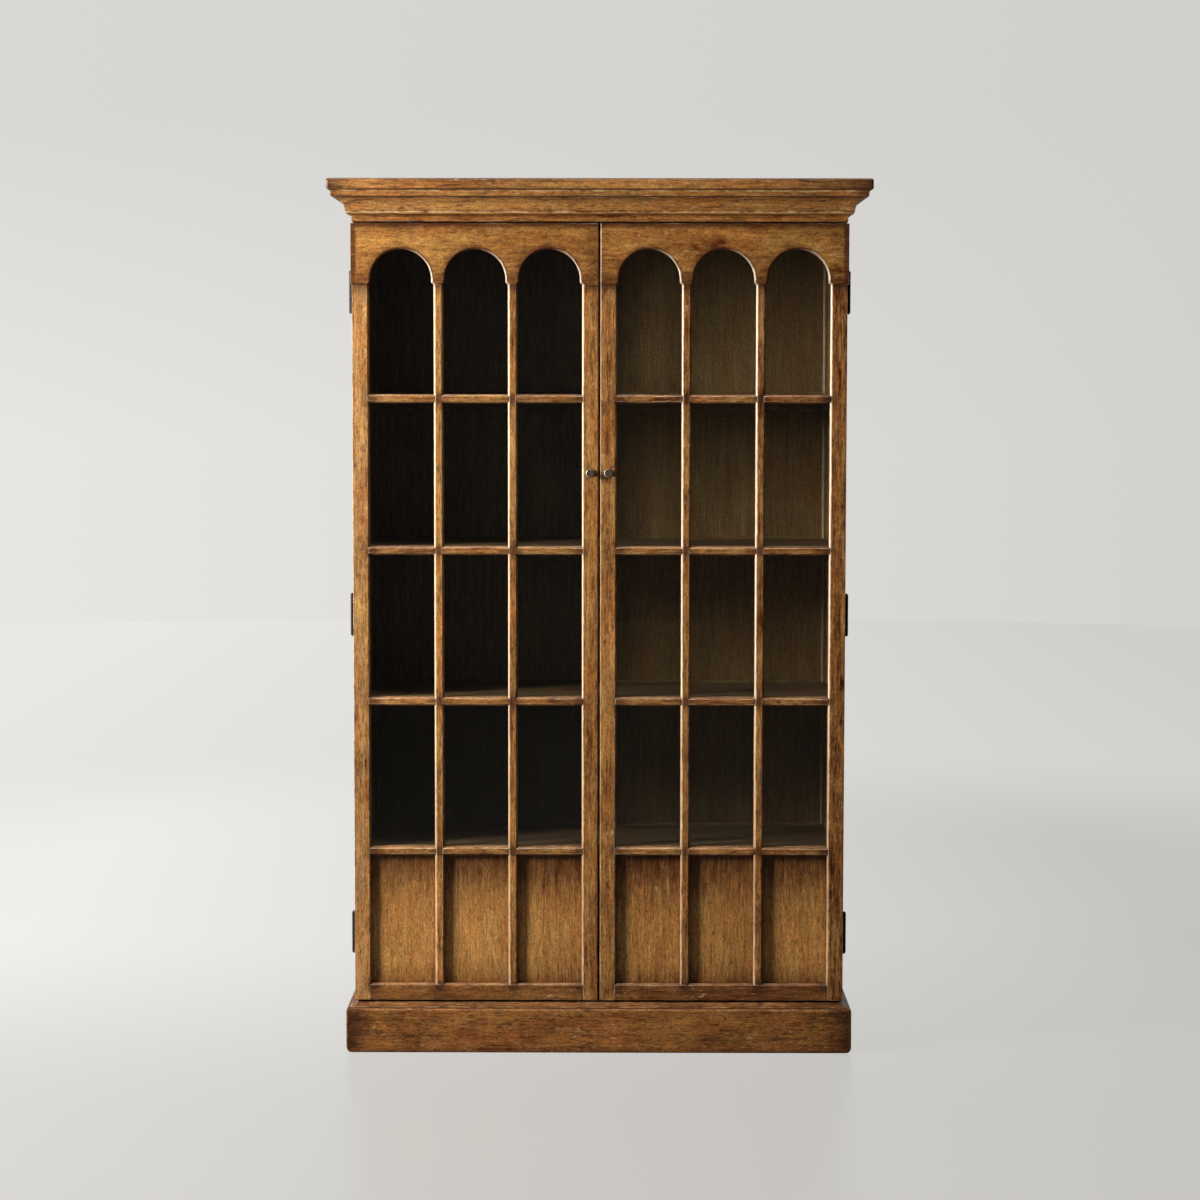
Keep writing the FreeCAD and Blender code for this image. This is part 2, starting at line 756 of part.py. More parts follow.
def carcass_pieces():
    side = side_panel()
    for screw in hinge_screws(1, screw_clearance):
        side = side.cut(screw)
    stile = back_stile()
    stiles = group([stile, mirrored(stile)])
    boards = plinth_boards()
    caps = plinth_caps()
    mouldings = cornice_mouldings()
    leaves = hinge_leaves(1)
    pins = group([hinge_pin(level) for level in hinge_levels])
    screws = group(hinge_screws(1, 0))
    pieces = {
        "side_panel_right": side, "side_panel_left": mirrored(side), "bottom_board": bottom_board(),
        "ceiling_board": ceiling_board(), "shelf_cleats": shelf_cleats(), "back_stiles": stiles,
        "back_rails": back_rails(stiles), "back_panels": back_panels(), "base_rail": base_rail(),
        "plinth_back": plinth_back(), "frieze_board": frieze_board(), "cornice_slab": cornice_slab(),
        "catch_magnets": catch_magnets(), "hinge_frame_leaves_right": leaves,
        "hinge_frame_leaves_left": mirrored(leaves), "hinge_pins": group([pins, mirrored(pins)]),
        "hinge_frame_screws": group([screws, mirrored(screws)]),
    }
    for number, level in enumerate(shelf_levels):
        pieces["shelf_" + str(number + 1)] = shelf(level)
    for name, runs in (("plinth", boards), ("plinth_cap", caps), ("cornice_moulding", mouldings)):
        for place, run in zip(("front", "right", "left"), runs):
            pieces[name + "_" + place] = run
    return pieces


os.makedirs("parts", exist_ok=True)
nodes = carcass_pieces()
for name, shape in door_pieces().items():
    nodes["right_door_" + name] = shape
    nodes["left_door_" + name] = mirrored(shape)
for name, shape in nodes.items():
    shape.exportStep("parts/" + name + ".step")
    box = shape.BoundBox
    print(name, len(shape.Solids), "solids", shape.isValid(), round(shape.Volume),
          [round(value, 2) for value in (box.XMin, box.XMax, box.YMin, box.YMax, box.ZMin, box.ZMax)])
print(len(nodes), "nodes")
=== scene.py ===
import math
import random

import bmesh
import bpy
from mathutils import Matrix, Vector, noise


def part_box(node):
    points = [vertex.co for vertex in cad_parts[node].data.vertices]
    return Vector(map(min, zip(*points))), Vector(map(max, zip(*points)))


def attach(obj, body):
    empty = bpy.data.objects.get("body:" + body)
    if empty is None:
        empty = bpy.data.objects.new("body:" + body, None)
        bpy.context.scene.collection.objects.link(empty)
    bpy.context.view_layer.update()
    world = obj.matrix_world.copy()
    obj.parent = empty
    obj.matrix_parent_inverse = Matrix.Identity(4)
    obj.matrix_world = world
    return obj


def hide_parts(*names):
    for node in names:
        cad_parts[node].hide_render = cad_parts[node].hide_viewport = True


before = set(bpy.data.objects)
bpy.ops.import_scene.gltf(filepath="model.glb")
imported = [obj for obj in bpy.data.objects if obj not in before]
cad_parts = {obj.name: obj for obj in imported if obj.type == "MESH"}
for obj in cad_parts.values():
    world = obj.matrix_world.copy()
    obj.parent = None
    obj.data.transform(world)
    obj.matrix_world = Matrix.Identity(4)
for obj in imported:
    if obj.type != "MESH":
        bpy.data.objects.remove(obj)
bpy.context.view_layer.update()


# Carcass boards: two sides, the bottom and the ceiling, of solid hardwood darkened with age and wax.
# They are planed by hand, their arrises rubbed round by use, and glued and tenoned together.

def loose_parts(bm):
    """Numbers the separate boards of a mesh, so that each gets its own stretch of grain."""
    number = {}
    count = 0
    for start in bm.verts:
        if start in number:
            continue
        stack = [start]
        number[start] = count
        while stack:
            for edge in stack.pop().link_edges:
                for other in edge.verts:
                    if other not in number:
                        number[other] = count
                        stack.append(other)
        count += 1
    return number, count


def saw_across(bm, axis, step):
    """Cuts a long piece into short stretches, so that its arrises can wander a little."""
    values = [v.co[axis] for v in bm.verts]
    low, high = min(values), max(values)
    count = int((high - low) / step)
    normal = Vector([1.0 if i == axis else 0.0 for i in range(3)])
    for i in range(1, count):
        at = normal * (low + (high - low) * i / count)
        geometry = list(bm.verts) + list(bm.edges) + list(bm.faces)
        bmesh.ops.bisect_plane(bm, geom=geometry, dist=1e-6, plane_co=at, plane_no=normal)


def plane_by_hand(bm, depth):
    """Moves each vertex a fraction of a millimetre, always into the wood."""
    bm.normal_update()
    moves = {}
    for v in bm.verts:
        shift = noise.noise(v.co * 11.0) * 0.5 + noise.noise(v.co * 37.0 + Vector((5, 9, 2))) * 0.5
        moves[v] = v.normal * (-depth * (0.5 + 0.5 * shift))
    for v, move in moves.items():
        v.co += move


def keep_faces_flat(mesh):
    """Sets the shading so that faces stay flat and only the rounded arrises turn from one to the next."""
    around = [[] for _ in mesh.vertices]
    for polygon in mesh.polygons:
        for v in polygon.vertices:
            around[v].append(polygon)
    normals = []
    for polygon in mesh.polygons:
        reach = math.radians(32 if polygon.material_index == 0 else 50)
        for v in polygon.vertices:
            near = [q for q in around[v] if q.area > 0 and q.normal.angle(polygon.normal, 9) < reach]
            wide = [q for q in near if q.material_index == 0]
            total = Vector((0, 0, 0))
            for q in wide or near:
                total += q.normal * q.area
            normals.append(total.normalized() if total.length > 0 else polygon.normal)
    mesh.normals_split_custom_set(normals)


def merge_corners(bm, each_alone):
    """Joins the corners of the faces. Boards that meet in a mitre are joined each alone, one closed skin
    after another, so that they don't grow together."""
    skins, faces, unmatched = [], [], set()
    for face in bm.faces if each_alone else ():
        faces.append(face)
        for loop in face.loops:
            ends = [tuple(round(c, 5) for c in v.co) for v in (loop.vert, loop.link_loop_next.vert)]
            unmatched ^= {frozenset(ends)}
        if not unmatched:
            skins.append(list(dict.fromkeys(v for f in faces for v in f.verts)))
            faces = []
    for skin in skins or [bm.verts]:
        bmesh.ops.remove_doubles(bm, verts=skin, dist=1e-5)


def polish_and_highlight_of(normal, height):
    """How far a bevel that faces the left is rubbed smooth and painted pale as a highlight, strongest from a
    metre up.
    """
    if not 0.3 < -normal.y < 0.93:
        return 0.0
    return min(max(height, 0.4), 1.0) * max(-normal.x * 1.5 - 0.1, 0.0)


def board_marks(mesh, grain, seed, tone, polish_and_painted_highlight):
    """Writes what the wood needs to know: its own coordinates along the grain, its tone, its arrises, and
    its bevels that face the left, rubbed smooth and painted pale as a highlight."""
    bm = bmesh.new()
    bm.from_mesh(mesh)
    number, count = loose_parts(bm)
    numbers = [number[v] for v in bm.verts]
    bm.free()
    dice = random.Random(seed * 7919 + len(mesh.vertices))
    shifts = [[dice.uniform(-3, 3) for _ in range(3)] for _ in range(count)]
    tones = [tone + dice.uniform(-0.5, 0.5) for _ in range(count)]
    order = [grain, (grain + 1) % 3, (grain + 2) % 3]
    along = [v.co[order[k]] + shifts[numbers[i]][k] for i, v in enumerate(mesh.vertices) for k in range(3)]
    slopes = [polish_and_highlight_of(p.normal, p.center.z) if polish_and_painted_highlight else 0.0 for p in mesh.polygons]
    for name, kind, domain, key, values in (
            ("grain", "FLOAT_VECTOR", "POINT", "vector", along),
            ("tone", "FLOAT", "POINT", "value", [tones[n] for n in numbers]),
            ("arris", "FLOAT", "FACE", "value", [float(p.material_index) for p in mesh.polygons]),
            ("slope", "FLOAT", "FACE", "value", slopes)):
        mesh.attributes.new(name, kind, domain)
        mesh.attributes[name].data.foreach_set(key, values)
    mesh.polygons.foreach_set("material_index", [0] * len(mesh.polygons))


def worked(node, body, material, grain, arris=0.0009, uneven=0.0, step=0.0, seed=0, tone=0.0,
           polish_and_painted_highlight=False, form=None, each_alone=False):
    """A CAD node as a maker leaves it: worn arrises, and grain running along the given axis, 0 to 2.
    A form is a mesh of the same outline with finer curves, for a node whose own are too coarse."""
    bm = bmesh.new()
    bm.from_mesh(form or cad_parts[node].data)
    merge_corners(bm, each_alone)
    if form:
        bmesh.ops.recalc_face_normals(bm, faces=bm.faces)
    for face in bm.faces:
        face.material_index = 0
    bmesh.ops.dissolve_limit(bm, angle_limit=math.radians(0.4), verts=bm.verts, edges=bm.edges)
    if step:
        saw_across(bm, grain, step)
    if uneven:
        plane_by_hand(bm, uneven)
    bm.normal_update()
    weight = bm.edges.layers.float.new("bevel_weight_edge")
    sharp = math.radians(36)
    for edge in bm.edges:
        if len(edge.link_faces) == 2 and edge.is_convex and edge.calc_face_angle(0) > sharp:
            edge[weight] = 1.0 if edge.calc_length() > arris * 1.5 else 0.0
    mesh = bpy.data.meshes.new(node + "_worked")
    bm.to_mesh(mesh)
    bm.free()
    mesh.materials.append(material)
    mesh.materials.append(material)
    mesh.polygons.foreach_set("use_smooth", [True] * len(mesh.polygons))
    piece = bpy.data.objects.new(node + "_worked", mesh)
    bpy.context.scene.collection.objects.link(piece)
    rounding = piece.modifiers.new("arris", "BEVEL")
    rounding.limit_method = "WEIGHT"
    rounding.width = arris
    rounding.segments = 2
    rounding.use_clamp_overlap = False
    rounding.material = 1
    bpy.context.view_layer.update()
    evaluated = piece.evaluated_get(bpy.context.evaluated_depsgraph_get())
    finished = bpy.data.meshes.new_from_object(evaluated)
    finished.name = node + "_worked"
    piece.modifiers.clear()
    piece.data = finished
    bpy.data.meshes.remove(mesh)
    keep_faces_flat(finished)
    board_marks(finished, grain, seed, tone, polish_and_painted_highlight)
    finished.materials.pop(index=1)
    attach(piece, body)
    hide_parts(node)


def new_material(name):
    """A new material, its nodes, and its surface shader."""
    material = bpy.data.materials.new(name)
    material.use_nodes = True
    return material, material.node_tree, material.node_tree.nodes["Principled BSDF"]


def new_group(name, inputs, outputs, kind="ShaderNodeTree"):
    """A group of nodes and its two ends, with named sockets of the given kinds."""
    group = bpy.data.node_groups.new(name, kind)
    for way, sockets in (("INPUT", inputs), ("OUTPUT", outputs)):
        for label, sort in sockets.items():
            group.interface.new_socket(name=label, in_out=way, socket_type="NodeSocket" + sort)
    return group, group.nodes.new("NodeGroupInput").outputs, group.nodes.new("NodeGroupOutput")


def feed(tree, node, inputs):
    """Sets inputs of a node, each to a value or to what another node gives."""
    for key, value in dict(inputs).items():
        if isinstance(value, bpy.types.NodeSocket):
            tree.links.new(value, node.inputs[key])
        else:
            node.inputs[key].default_value = value


def place(tree, kind, inputs=(), **settings):
    """Adds a node, and gives its outputs."""
    node = tree.nodes.new(kind)
    for key, value in settings.items():
        setattr(node, key, value)
    feed(tree, node, inputs)
    return node.outputs


def tree_of(*values):
    """The tree of nodes that works out some of these values; the others are plain numbers."""
    return next(v.id_data for v in values if isinstance(v, bpy.types.NodeSocket))


def sums(operation, *values):
    return place(tree_of(*values), "ShaderNodeMath", enumerate(values), operation=operation)[0]


def plus(a, b):
    return sums("ADD", a, b)


def less(a, b):
    return sums("SUBTRACT", a, b)


def times(a, b):
    return sums("MULTIPLY", a, b)


def most(value, *others, way="MAXIMUM"):
    """The greatest of some values, or the least of them when the way is MINIMUM."""
    for other in others:
        value = sums(way, value, other)
    return value


def spread(value, low, high, to_low=0.0, to_high=1.0, soft=False):
    """Takes a value from one span to another, and holds it at the ends."""
    return place(tree_of(value), "ShaderNodeMapRange", {0: value, 1: low, 2: high, 3: to_low, 4: to_high},
                 interpolation_type="SMOOTHSTEP" if soft else "LINEAR")[0]


def blend(share, a, b, way="MIX", hold=True):
    return place(tree_of(share, a, b), "ShaderNodeMix", {0: share, 6: a, 7: b}, data_type="RGBA",
                 blend_type=way, clamp_factor=hold)[2]


def gap(value, line):
    """How far a value lies from a line."""
    return sums("ABSOLUTE", less(value, line))


def stripe(value, middle, half, strength):
    """Strength where the value is at the middle, down to nought at half a stripe's width from it."""
    return spread(gap(value, middle), half * 0.4, half, strength, 0.0)


def spot_on(tree):
    """The place on the object, in metres, as three outputs."""
    return place(tree, "ShaderNodeSeparateXYZ", {0: place(tree, "ShaderNodeTexCoord")["Object"]})


def mark(tree, name, output="Fac"):
    """One of the marks that board_marks wrote on the mesh."""
    return place(tree, "ShaderNodeAttribute", attribute_name=name)[output]


def openness(tree, distance, inside):
    """One where nothing is near, less in corners, or with inside, less beside the wood's own edges."""
    return place(tree, "ShaderNodeAmbientOcclusion", {"Distance": distance}, samples=4, inside=inside,
                 only_local=inside)["AO"]


def streaks(vector, along, across, detail, rough, shift=0.0, distort=0.0):
    """Noise in the wood's own coordinates; along and across say how many features fit in a metre."""
    tree = tree_of(vector)
    scaled = place(tree, "ShaderNodeVectorMath", {0: vector, 1: (along, across, across)},
                   operation="MULTIPLY")[0]
    moved = place(tree, "ShaderNodeVectorMath", {0: scaled, 1: (shift, shift * 0.7, shift * 1.3)},
                  operation="ADD")[0]
    return place(tree, "ShaderNodeTexNoise", {"Vector": moved, "Scale": 1.0, "Detail": detail,
                                              "Roughness": rough, "Distortion": distort})["Fac"]


def aged_grain_group():
    """Honey-coloured hardwood: clouds of red and gold, figure, fibres, short dark pores and specks."""
    group, start, end = new_group(
        "aged_grain", {"Along": "Vector", "Tone": "Float", "Deep": "Color", "Pale": "Color", "Cloud": "Float",
                       "Figure": "Float", "Pores": "Float", "Nicks": "Float", "Ruddy": "Float"},
        {"Colour": "Color", "Height": "Float", "Sheen": "Float"})

    def streak(*shape):
        return streaks(start["Along"], *shape)

    cloud = spread(streak(3.5, 9, 4, 0.6, 0, 0.4), 0.32, 0.68)
    blotch, mottle, figure, fibre = [spread(streak(*shape), 0.3, 0.7) for shape in (
        (17, 44, 5, 0.7, 4, 0.3), (62, 125, 3, 0.7, 5), (3, 80, 4, 0.6, 8, 0.7), (15, 210, 3, 0.7, 2))]
    fleck, grit, gather = [streak(*shape) for shape in (
        (44, 240, 2, 0.6, 6), (150, 300, 3, 0.75, 17), (9, 24, 2, 0.5, 13))]
    share = 0.5
    for layer, weight, kind in ((cloud, 0.44, "Cloud"), (blotch, 0.52, "Cloud"), (mottle, 0.36, "Cloud"),
                                (figure, 0.50, "Figure"), (fibre, 0.85, "Figure")):
        share = sums("MULTIPLY_ADD", less(layer, 0.5), times(start[kind], weight), share)
    share = sums("MULTIPLY_ADD", start["Tone"], 0.20, share)
    colour = blend(spread(share, -0.3, 1.4, -0.3, 1.4), start["Deep"], start["Pale"], hold=False)
    ruddy = times(spread(streak(7, 21, 3, 0.6, 27), 0.42, 0.66), 0.75)
    ruddy = times(ruddy, start["Ruddy"])
    colour = blend(ruddy, colour, (1.0, 0.76, 0.60, 1), "MULTIPLY")
    golden = spread(streak(5, 15, 3, 0.6, 33), 0.46, 0.66)
    colour = blend(golden, colour, (1.03, 1.03, 0.92, 1), "MULTIPLY")
    gritty = spread(grit, 0.3, 0.7, 0.45, 1.55)
    gritty = place(group, "ShaderNodeCombineColor", enumerate((gritty, gritty, gritty)))[0]
    colour = blend(1.0, colour, gritty, "MULTIPLY")
    strokes = times(spread(fleck, 0.53, 0.66), spread(gather, 0.38, 0.60, 0.30, 1))
    specks = times(spread(grit, 0.59, 0.66), spread(gather, 0.48, 0.64))
    dark = spread(times(most(strokes, specks), start["Pores"]), 0.0, 1.0, 0.0, 0.80)
    colour = blend(dark, colour, (0.042, 0.014, 0.006, 1))
    rubbed = spread(streak(12, 30, 3, 0.6, 47), 0.50, 0.64)
    nicks = times(spread(streak(58, 230, 2, 0.6, 41), 0.60, 0.68, 0.0, 0.55), rubbed)
    colour = blend(times(nicks, start["Nicks"]), colour, (0.60, 0.42, 0.24, 1))
    feed(group, end, {"Colour": colour,
                      "Height": sums("MULTIPLY_ADD", fibre, 0.35, times(dark, -0.9)),
                      "Sheen": sums("MULTIPLY_ADD", blotch, 0.6, times(dark, 0.6))})
    return group


def patina_and_shade_group():
    """Dark red-brown wax and dirt that gathers where cloths don't reach, and painted shade where the mask
    puts it; the grain shows through it.
    """
    group, start, end = new_group(
        "patina_and_painted_shade", {"Colour": "Color", "Along": "Vector", "Where": "Float", "Amount": "Float",
                        "Dark": "Color"}, {"Colour": "Color"})
    ragged = less(streaks(start["Along"], 22, 60, 4, 0.65, 21, 0.5), 0.5)
    reach = sums("MULTIPLY_ADD", ragged, 1.1, start["Where"])
    mask = spread(times(spread(reach, 0.12, 0.95), start["Amount"]), 0.0, 1.0)
    stained = blend(1.0, start["Colour"], (0.31, 0.185, 0.12, 1), "MULTIPLY")
    stained = blend(0.42, stained, start["Dark"])
    feed(group, end, {"Colour": blend(mask, start["Colour"], stained)})
    return group


def worn_and_highlit_arris_group():
    """Pale worn wood along the arrises, broken up and stronger where hands pass; where the mask marks an edge
    that catches the light, the pale is a painted highlight.
    """
    group, start, end = new_group(
        "worn_and_highlit_arris", {"Colour": "Color", "Along": "Vector", "Arris": "Float", "Amount": "Float",
                         "Worn": "Color"}, {"Colour": "Color"})
    broken = spread(streaks(start["Along"], 26, 40, 4, 0.7, 31), 0.42, 0.64)
    mask = times(times(broken, start["Arris"]), start["Amount"])
    feed(group, end, {"Colour": blend(mask, start["Colour"], start["Worn"])})
    return group


aged_grain = aged_grain_group()
patina_and_painted_shade = patina_and_shade_group()
worn_and_highlit_arris = worn_and_highlit_arris_group()


def waxed_wood(name, deep, pale, cloud=1.0, figure=1.0, pores=1.0, nicks=1.0, ruddy=1.0, patina_and_shade=0.6,
               worn=0.6, gloss=0.36, stains_and_shade=None, rubs_and_highlights=None, spared=None, paler=None,
               grime_and_shade=(0.060, 0.021, 0.009), rubbed=(0.62, 0.42, 0.22), corner=0.02, edging=0.5,
               edge_width=0.009, rim_width=0.0032, coat=0.0, face_y=None, shine=0.36):
    """Aged hardwood under old wax. Each of stains_and_shade, rubs_and_highlights, spared and paler may add a
    mask, made in the wood's own tree: where dark wax and dirt gather and shade is painted; where it is rubbed
    bare and highlights are painted; how far the arrises are spared that; and how much the board's tone rises
    or falls, which paints light and shade. Where face_y gives the front of a door frame, its bevels that face
    the left are rubbed smooth and painted pale as a highlight, and a dark line runs along the glass."""
    material, tree, surface = new_material(name)
    along, tone = mark(tree, "grain", "Vector"), mark(tree, "tone")
    edge, slope = mark(tree, "arris"), mark(tree, "slope")
    if face_y is not None:
        depth = spot_on(tree)[1]
        bevel_y, glass_y = (face_y + 0.0016, face_y + 0.0030), face_y + 0.0050
        by_glass = stripe(depth, glass_y, 0.0014, 1.3)
        off_glass = spread(by_glass, 0.0, 1.0, 1.0, 0.0)
        slope = times(times(slope, spread(depth, *bevel_y, 0.12, 1.0)), off_glass)
    if paler:
        tone = plus(tone, paler(tree))
    grain = place(tree, "ShaderNodeGroup", {
        "Along": along, "Tone": tone, "Deep": (*deep, 1), "Pale": (*pale, 1), "Cloud": cloud,
        "Figure": figure, "Pores": pores, "Nicks": nicks, "Ruddy": ruddy}, node_tree=aged_grain)
    where = spread(openness(tree, corner, False), 0.42, 0.90, 0.75, 0.0)
    if edging:
        where = most(where, spread(openness(tree, edge_width, True), 0.50, 0.92, edging, 0.0))
    if stains_and_shade:
        where = most(where, stains_and_shade(tree))
    edge = most(edge, spread(openness(tree, rim_width, True), 0.45, 0.85, 1.0, 0.0))
    if spared:
        edge = times(edge, spared(tree))
    if rubs_and_highlights:
        edge = most(edge, rubs_and_highlights(tree))
    if face_y is not None:
        where = most(where, by_glass)
        edge = times(edge, off_glass)
    colour = place(tree, "ShaderNodeGroup", {
        "Colour": grain["Colour"], "Along": along, "Where": where, "Amount": patina_and_shade,
        "Dark": (*grime_and_shade, 1)}, node_tree=patina_and_painted_shade)[0]
    colour = place(tree, "ShaderNodeGroup", {
        "Colour": colour, "Along": along, "Arris": edge, "Amount": worn, "Worn": (*rubbed, 1)},
        node_tree=worn_and_highlit_arris)[0]
    # Painted highlight: the bevels that face the left take the pale rubbed colour.
    colour = blend(spread(slope, 0.0, 0.9, 0.0, 0.8), colour, (*rubbed, 1))
    rough = sums("MULTIPLY_ADD", grain["Sheen"], 0.16, gloss)
    rough = sums("MULTIPLY_ADD", slope, gloss * -0.42, rough)
    relief = place(tree, "ShaderNodeBump", {"Strength": 0.6, "Distance": 0.00022,
                                            "Height": grain["Height"]})["Normal"]
    feed(tree, surface, {"Base Color": colour, "Roughness": rough, "Normal": relief,
                         "Specular IOR Level": shine})
    if coat:
        feed(tree, surface, {"Coat Weight": times(slope, coat), "Coat Roughness": 0.14})
    return material


carcass_wood = waxed_wood(
    "carcass_wood", (0.110, 0.041, 0.011), (0.27, 0.128, 0.040), figure=0.75, pores=0.6, nicks=0.5,
    patina_and_shade=0.7, worn=0.5)
worked("side_panel_left", "carcass", carcass_wood, 2, arris=0.0012, seed=1, tone=-1.6)
worked("side_panel_right", "carcass", carcass_wood, 2, arris=0.0012, seed=2)

inner_wood = waxed_wood(
    "inner_wood", (0.040, 0.024, 0.010), (0.130, 0.080, 0.032), cloud=0.7, pores=0.6, nicks=0.2, patina_and_shade=0.5,
    worn=0.12, edging=0, gloss=0.50)
# The bottom board's lower tone is painted shade, for the low row that the window light hardly reaches.
worked("bottom_board", "carcass", inner_wood, 0, seed=3, tone=-1.0)
worked("ceiling_board", "carcass", inner_wood, 0, seed=4)


# Framed back: two stiles, six rails and five thin panels held in grooves, of unpolished wood that has
# gone dull olive brown. The frame's front arrises are bevelled, and it is let into rebates in the sides.
# Painted shade darkens its left half and its lowest panels, and painted light brightens it to the right.

panels_low, panels_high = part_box("back_panels")
panels_y = (panels_low[1] + panels_high[1]) / 2
dark_to_light_x, lightest_x = (-0.03, 0.14), (0.22, 0.50)
second_panel_z, second_panel_half = 1.08, 0.19
lowest_panel_z = (0.93, 0.80)


def painted_shade_back_tones(tree):
    """Inside, painted shade and light: darker on the left half and behind the lowest panes, where the window
    light does not reach, and lighter towards the right and round the second panel.
    """
    x, y, z = spot_on(tree)
    tone = plus(spread(x, *dark_to_light_x, -3.2, 1.0), stripe(z, second_panel_z, second_panel_half, 0.3))
    tone = plus(tone, spread(x, *lightest_x, 0.0, 0.6))
    tone = plus(tone, spread(z, *lowest_panel_z, 0.0, -1.1))
    inside = spread(y, panels_y - 0.001, panels_y + 0.001, 1.0, 0.0)
    return sums("MULTIPLY_ADD", less(tone, 1.0), inside, 1.0)


back_wood = waxed_wood(
    "back_wood", (0.052, 0.031, 0.011), (0.160, 0.096, 0.034), cloud=0.5, figure=0.9, pores=0.4, nicks=0.2,
    patina_and_shade=0.4, worn=0.25, edging=0, gloss=0.46, paler=painted_shade_back_tones)
worked("back_stiles", "carcass", back_wood, 2, arris=0.0006, seed=5)
worked("back_rails", "carcass", back_wood, 0, arris=0.0006, seed=6)
worked("back_panels", "carcass", back_wood, 2, arris=0.0003, seed=7)


# Shelves: four boards level with the tops of the glazing bars, resting on battens screwed to the sides.
# The same dull wood as the back, rubbed paler along the front arris by what is put in and taken out.

# The lowest shelf's darker tone is painted shade, for the low row that the window light hardly reaches.
for number in range(1, 5):
    worked("shelf_%d" % number, "carcass", inner_wood, 0, arris=0.0012, seed=10 + number,
           tone=-1.8 if number == 1 else -0.3)
worked("shelf_cleats", "carcass", inner_wood, 1, arris=0.0006, seed=15)


# Plinth: three mitred boards with a rounded shoulder, a hollowed cap on them, and a rail behind.
# The darkest and most knocked wood on the piece, with scuffs, dents and worn feet, painted shade under the
# cap and along the floor, and painted highlights along the cap and the shoulder.

plinth_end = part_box("plinth_front")[1][0]
cap_low_z, cap_high_z = (corner[2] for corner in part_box("plinth_cap_front"))


def plinth_dirt_and_painted_shade(tree):
    """Greyer and darker towards the corners, with painted shade in the line under the cap and along the
    floor.
    """
    x, _, z = spot_on(tree)
    return most(
        spread(sums("ABSOLUTE", x), plinth_end - 0.075, plinth_end - 0.004, 0.0, 1.1),
        stripe(z, cap_low_z + 0.0006, 0.0030, 1.3), spread(z, 0.022, 0.001, 0.0, 0.6))


def plinth_rubs_and_highlight(tree):
    """Pale along the top of the cap and the shoulder of the board under it: rubbed wood with a painted
    highlight.
    """
    x, _, z = spot_on(tree)
    rubs_and_highlights = most(stripe(z, cap_high_z - 0.0016, 0.0030, 1.0), stripe(z, cap_low_z - 0.0048, 0.0032, 0.5))
    return times(rubs_and_highlights, spread(sums("ABSOLUTE", x), plinth_end - 0.08, plinth_end - 0.03, 1.0, 0.0))


plinth_wood = waxed_wood(
    "plinth_wood", (0.100, 0.036, 0.010), (0.35, 0.148, 0.040), cloud=1.2, figure=0.8, pores=1.4, nicks=1.1,
    patina_and_shade=0.88, worn=0.60, gloss=0.40, stains_and_shade=plinth_dirt_and_painted_shade, rubs_and_highlights=plinth_rubs_and_highlight, grime_and_shade=(0.040, 0.022, 0.013),
    rubbed=(0.46, 0.27, 0.12), edging=0.6, shine=0.16)
for side, grain in (("front", 0), ("left", 1), ("right", 1)):
    worked("plinth_" + side, "carcass", plinth_wood, grain, arris=0.0014, seed=20 + grain)
    worked("plinth_cap_" + side, "carcass", plinth_wood, grain, arris=0.0010, seed=24 + grain)
worked("base_rail", "carcass", carcass_wood, 0, seed=28)
worked("plinth_back", "carcass", carcass_wood, 0, seed=29)


# Frieze and cornice: a plain board, a moulding with nose, cove and crown member mitred round it, and a
# slab with rounded edges. Warm brown, darker at the worn ends, glued up and pinned from behind, with
# painted shade between the members, a painted highlight along the nose, and the frieze painted lighter.

slab_low, slab_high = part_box("cornice_slab")
frieze_low, frieze_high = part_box("frieze_board")
nose_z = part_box("cornice_moulding_front")[0][2]
slab_z = slab_low[2]
nose_reach, nose_radius, nose_fillet = 0.014, 0.006, 0.0015
cove_foot_reach, cove_top_reach, cove_fillet, cove_hollow = 0.0155, 0.037, 0.002, 0.0058
crown_height, crown_reach, crown_rounding = 0.0165, 0.048, 0.0035
crown_z = slab_z - crown_height
cove_z = nose_z + nose_radius + nose_fillet


def round_corner(centre, radius, turn, steps=6):
    """Places on a quarter round, from one turn in degrees through the next ninety."""
    angles = [math.radians(turn + 90 * i / steps) for i in range(steps + 1)]
    return [(centre[0] + radius * math.cos(a), centre[1] + radius * math.sin(a)) for a in angles]


def cove_between(foot, head, depth, steps=20):
    """Places on a hollow arc, left of the line from its foot to its head."""
    foot, head = Vector(foot), Vector(head)
    half = (head - foot).length / 2
    left = Vector((foot.y - head.y, head.x - foot.x)).normalized()
    radius = (half * half + depth * depth) / (2 * depth)
    centre = (foot + head) / 2 + left * (depth - radius)
    turn = math.asin(half / radius)
    ahead = (head - foot).normalized()
    angles = [-turn + 2 * turn * i / steps for i in range(steps + 1)]
    return [tuple(centre + left * (radius * math.cos(a)) + ahead * (radius * math.sin(a))) for a in angles]


def moulding_profile():
    """Nose, cove and crown member as one flat face: reach as X, height as Z."""
    outline = [(0, nose_z)] + round_corner((nose_reach - nose_radius, nose_z + nose_radius), nose_radius, -90)
    outline += [(nose_reach, cove_z)]
    outline += cove_between((cove_foot_reach, cove_z), (cove_top_reach, crown_z - cove_fillet), cove_hollow)
    outline += [(cove_top_reach, crown_z)]
    outline += round_corner((crown_reach - crown_rounding, crown_z + crown_rounding), crown_rounding, -90)
    outline += [(crown_reach, slab_z), (0, slab_z)]
    mesh = bpy.data.meshes.new("moulding_profile")
    mesh.from_pydata([(out, 0, z) for out, z in outline], [], [list(range(len(outline)))])
    return mesh


def finish_tree(tree, end, mesh, material):
    """Ends a tree of shapes: everything made real, in its material."""
    real = place(tree, "GeometryNodeRealizeInstances", {"Geometry": mesh})[0]
    feed(tree, end, {0: place(tree, "GeometryNodeSetMaterial", {"Geometry": real, "Material": material})[0]})


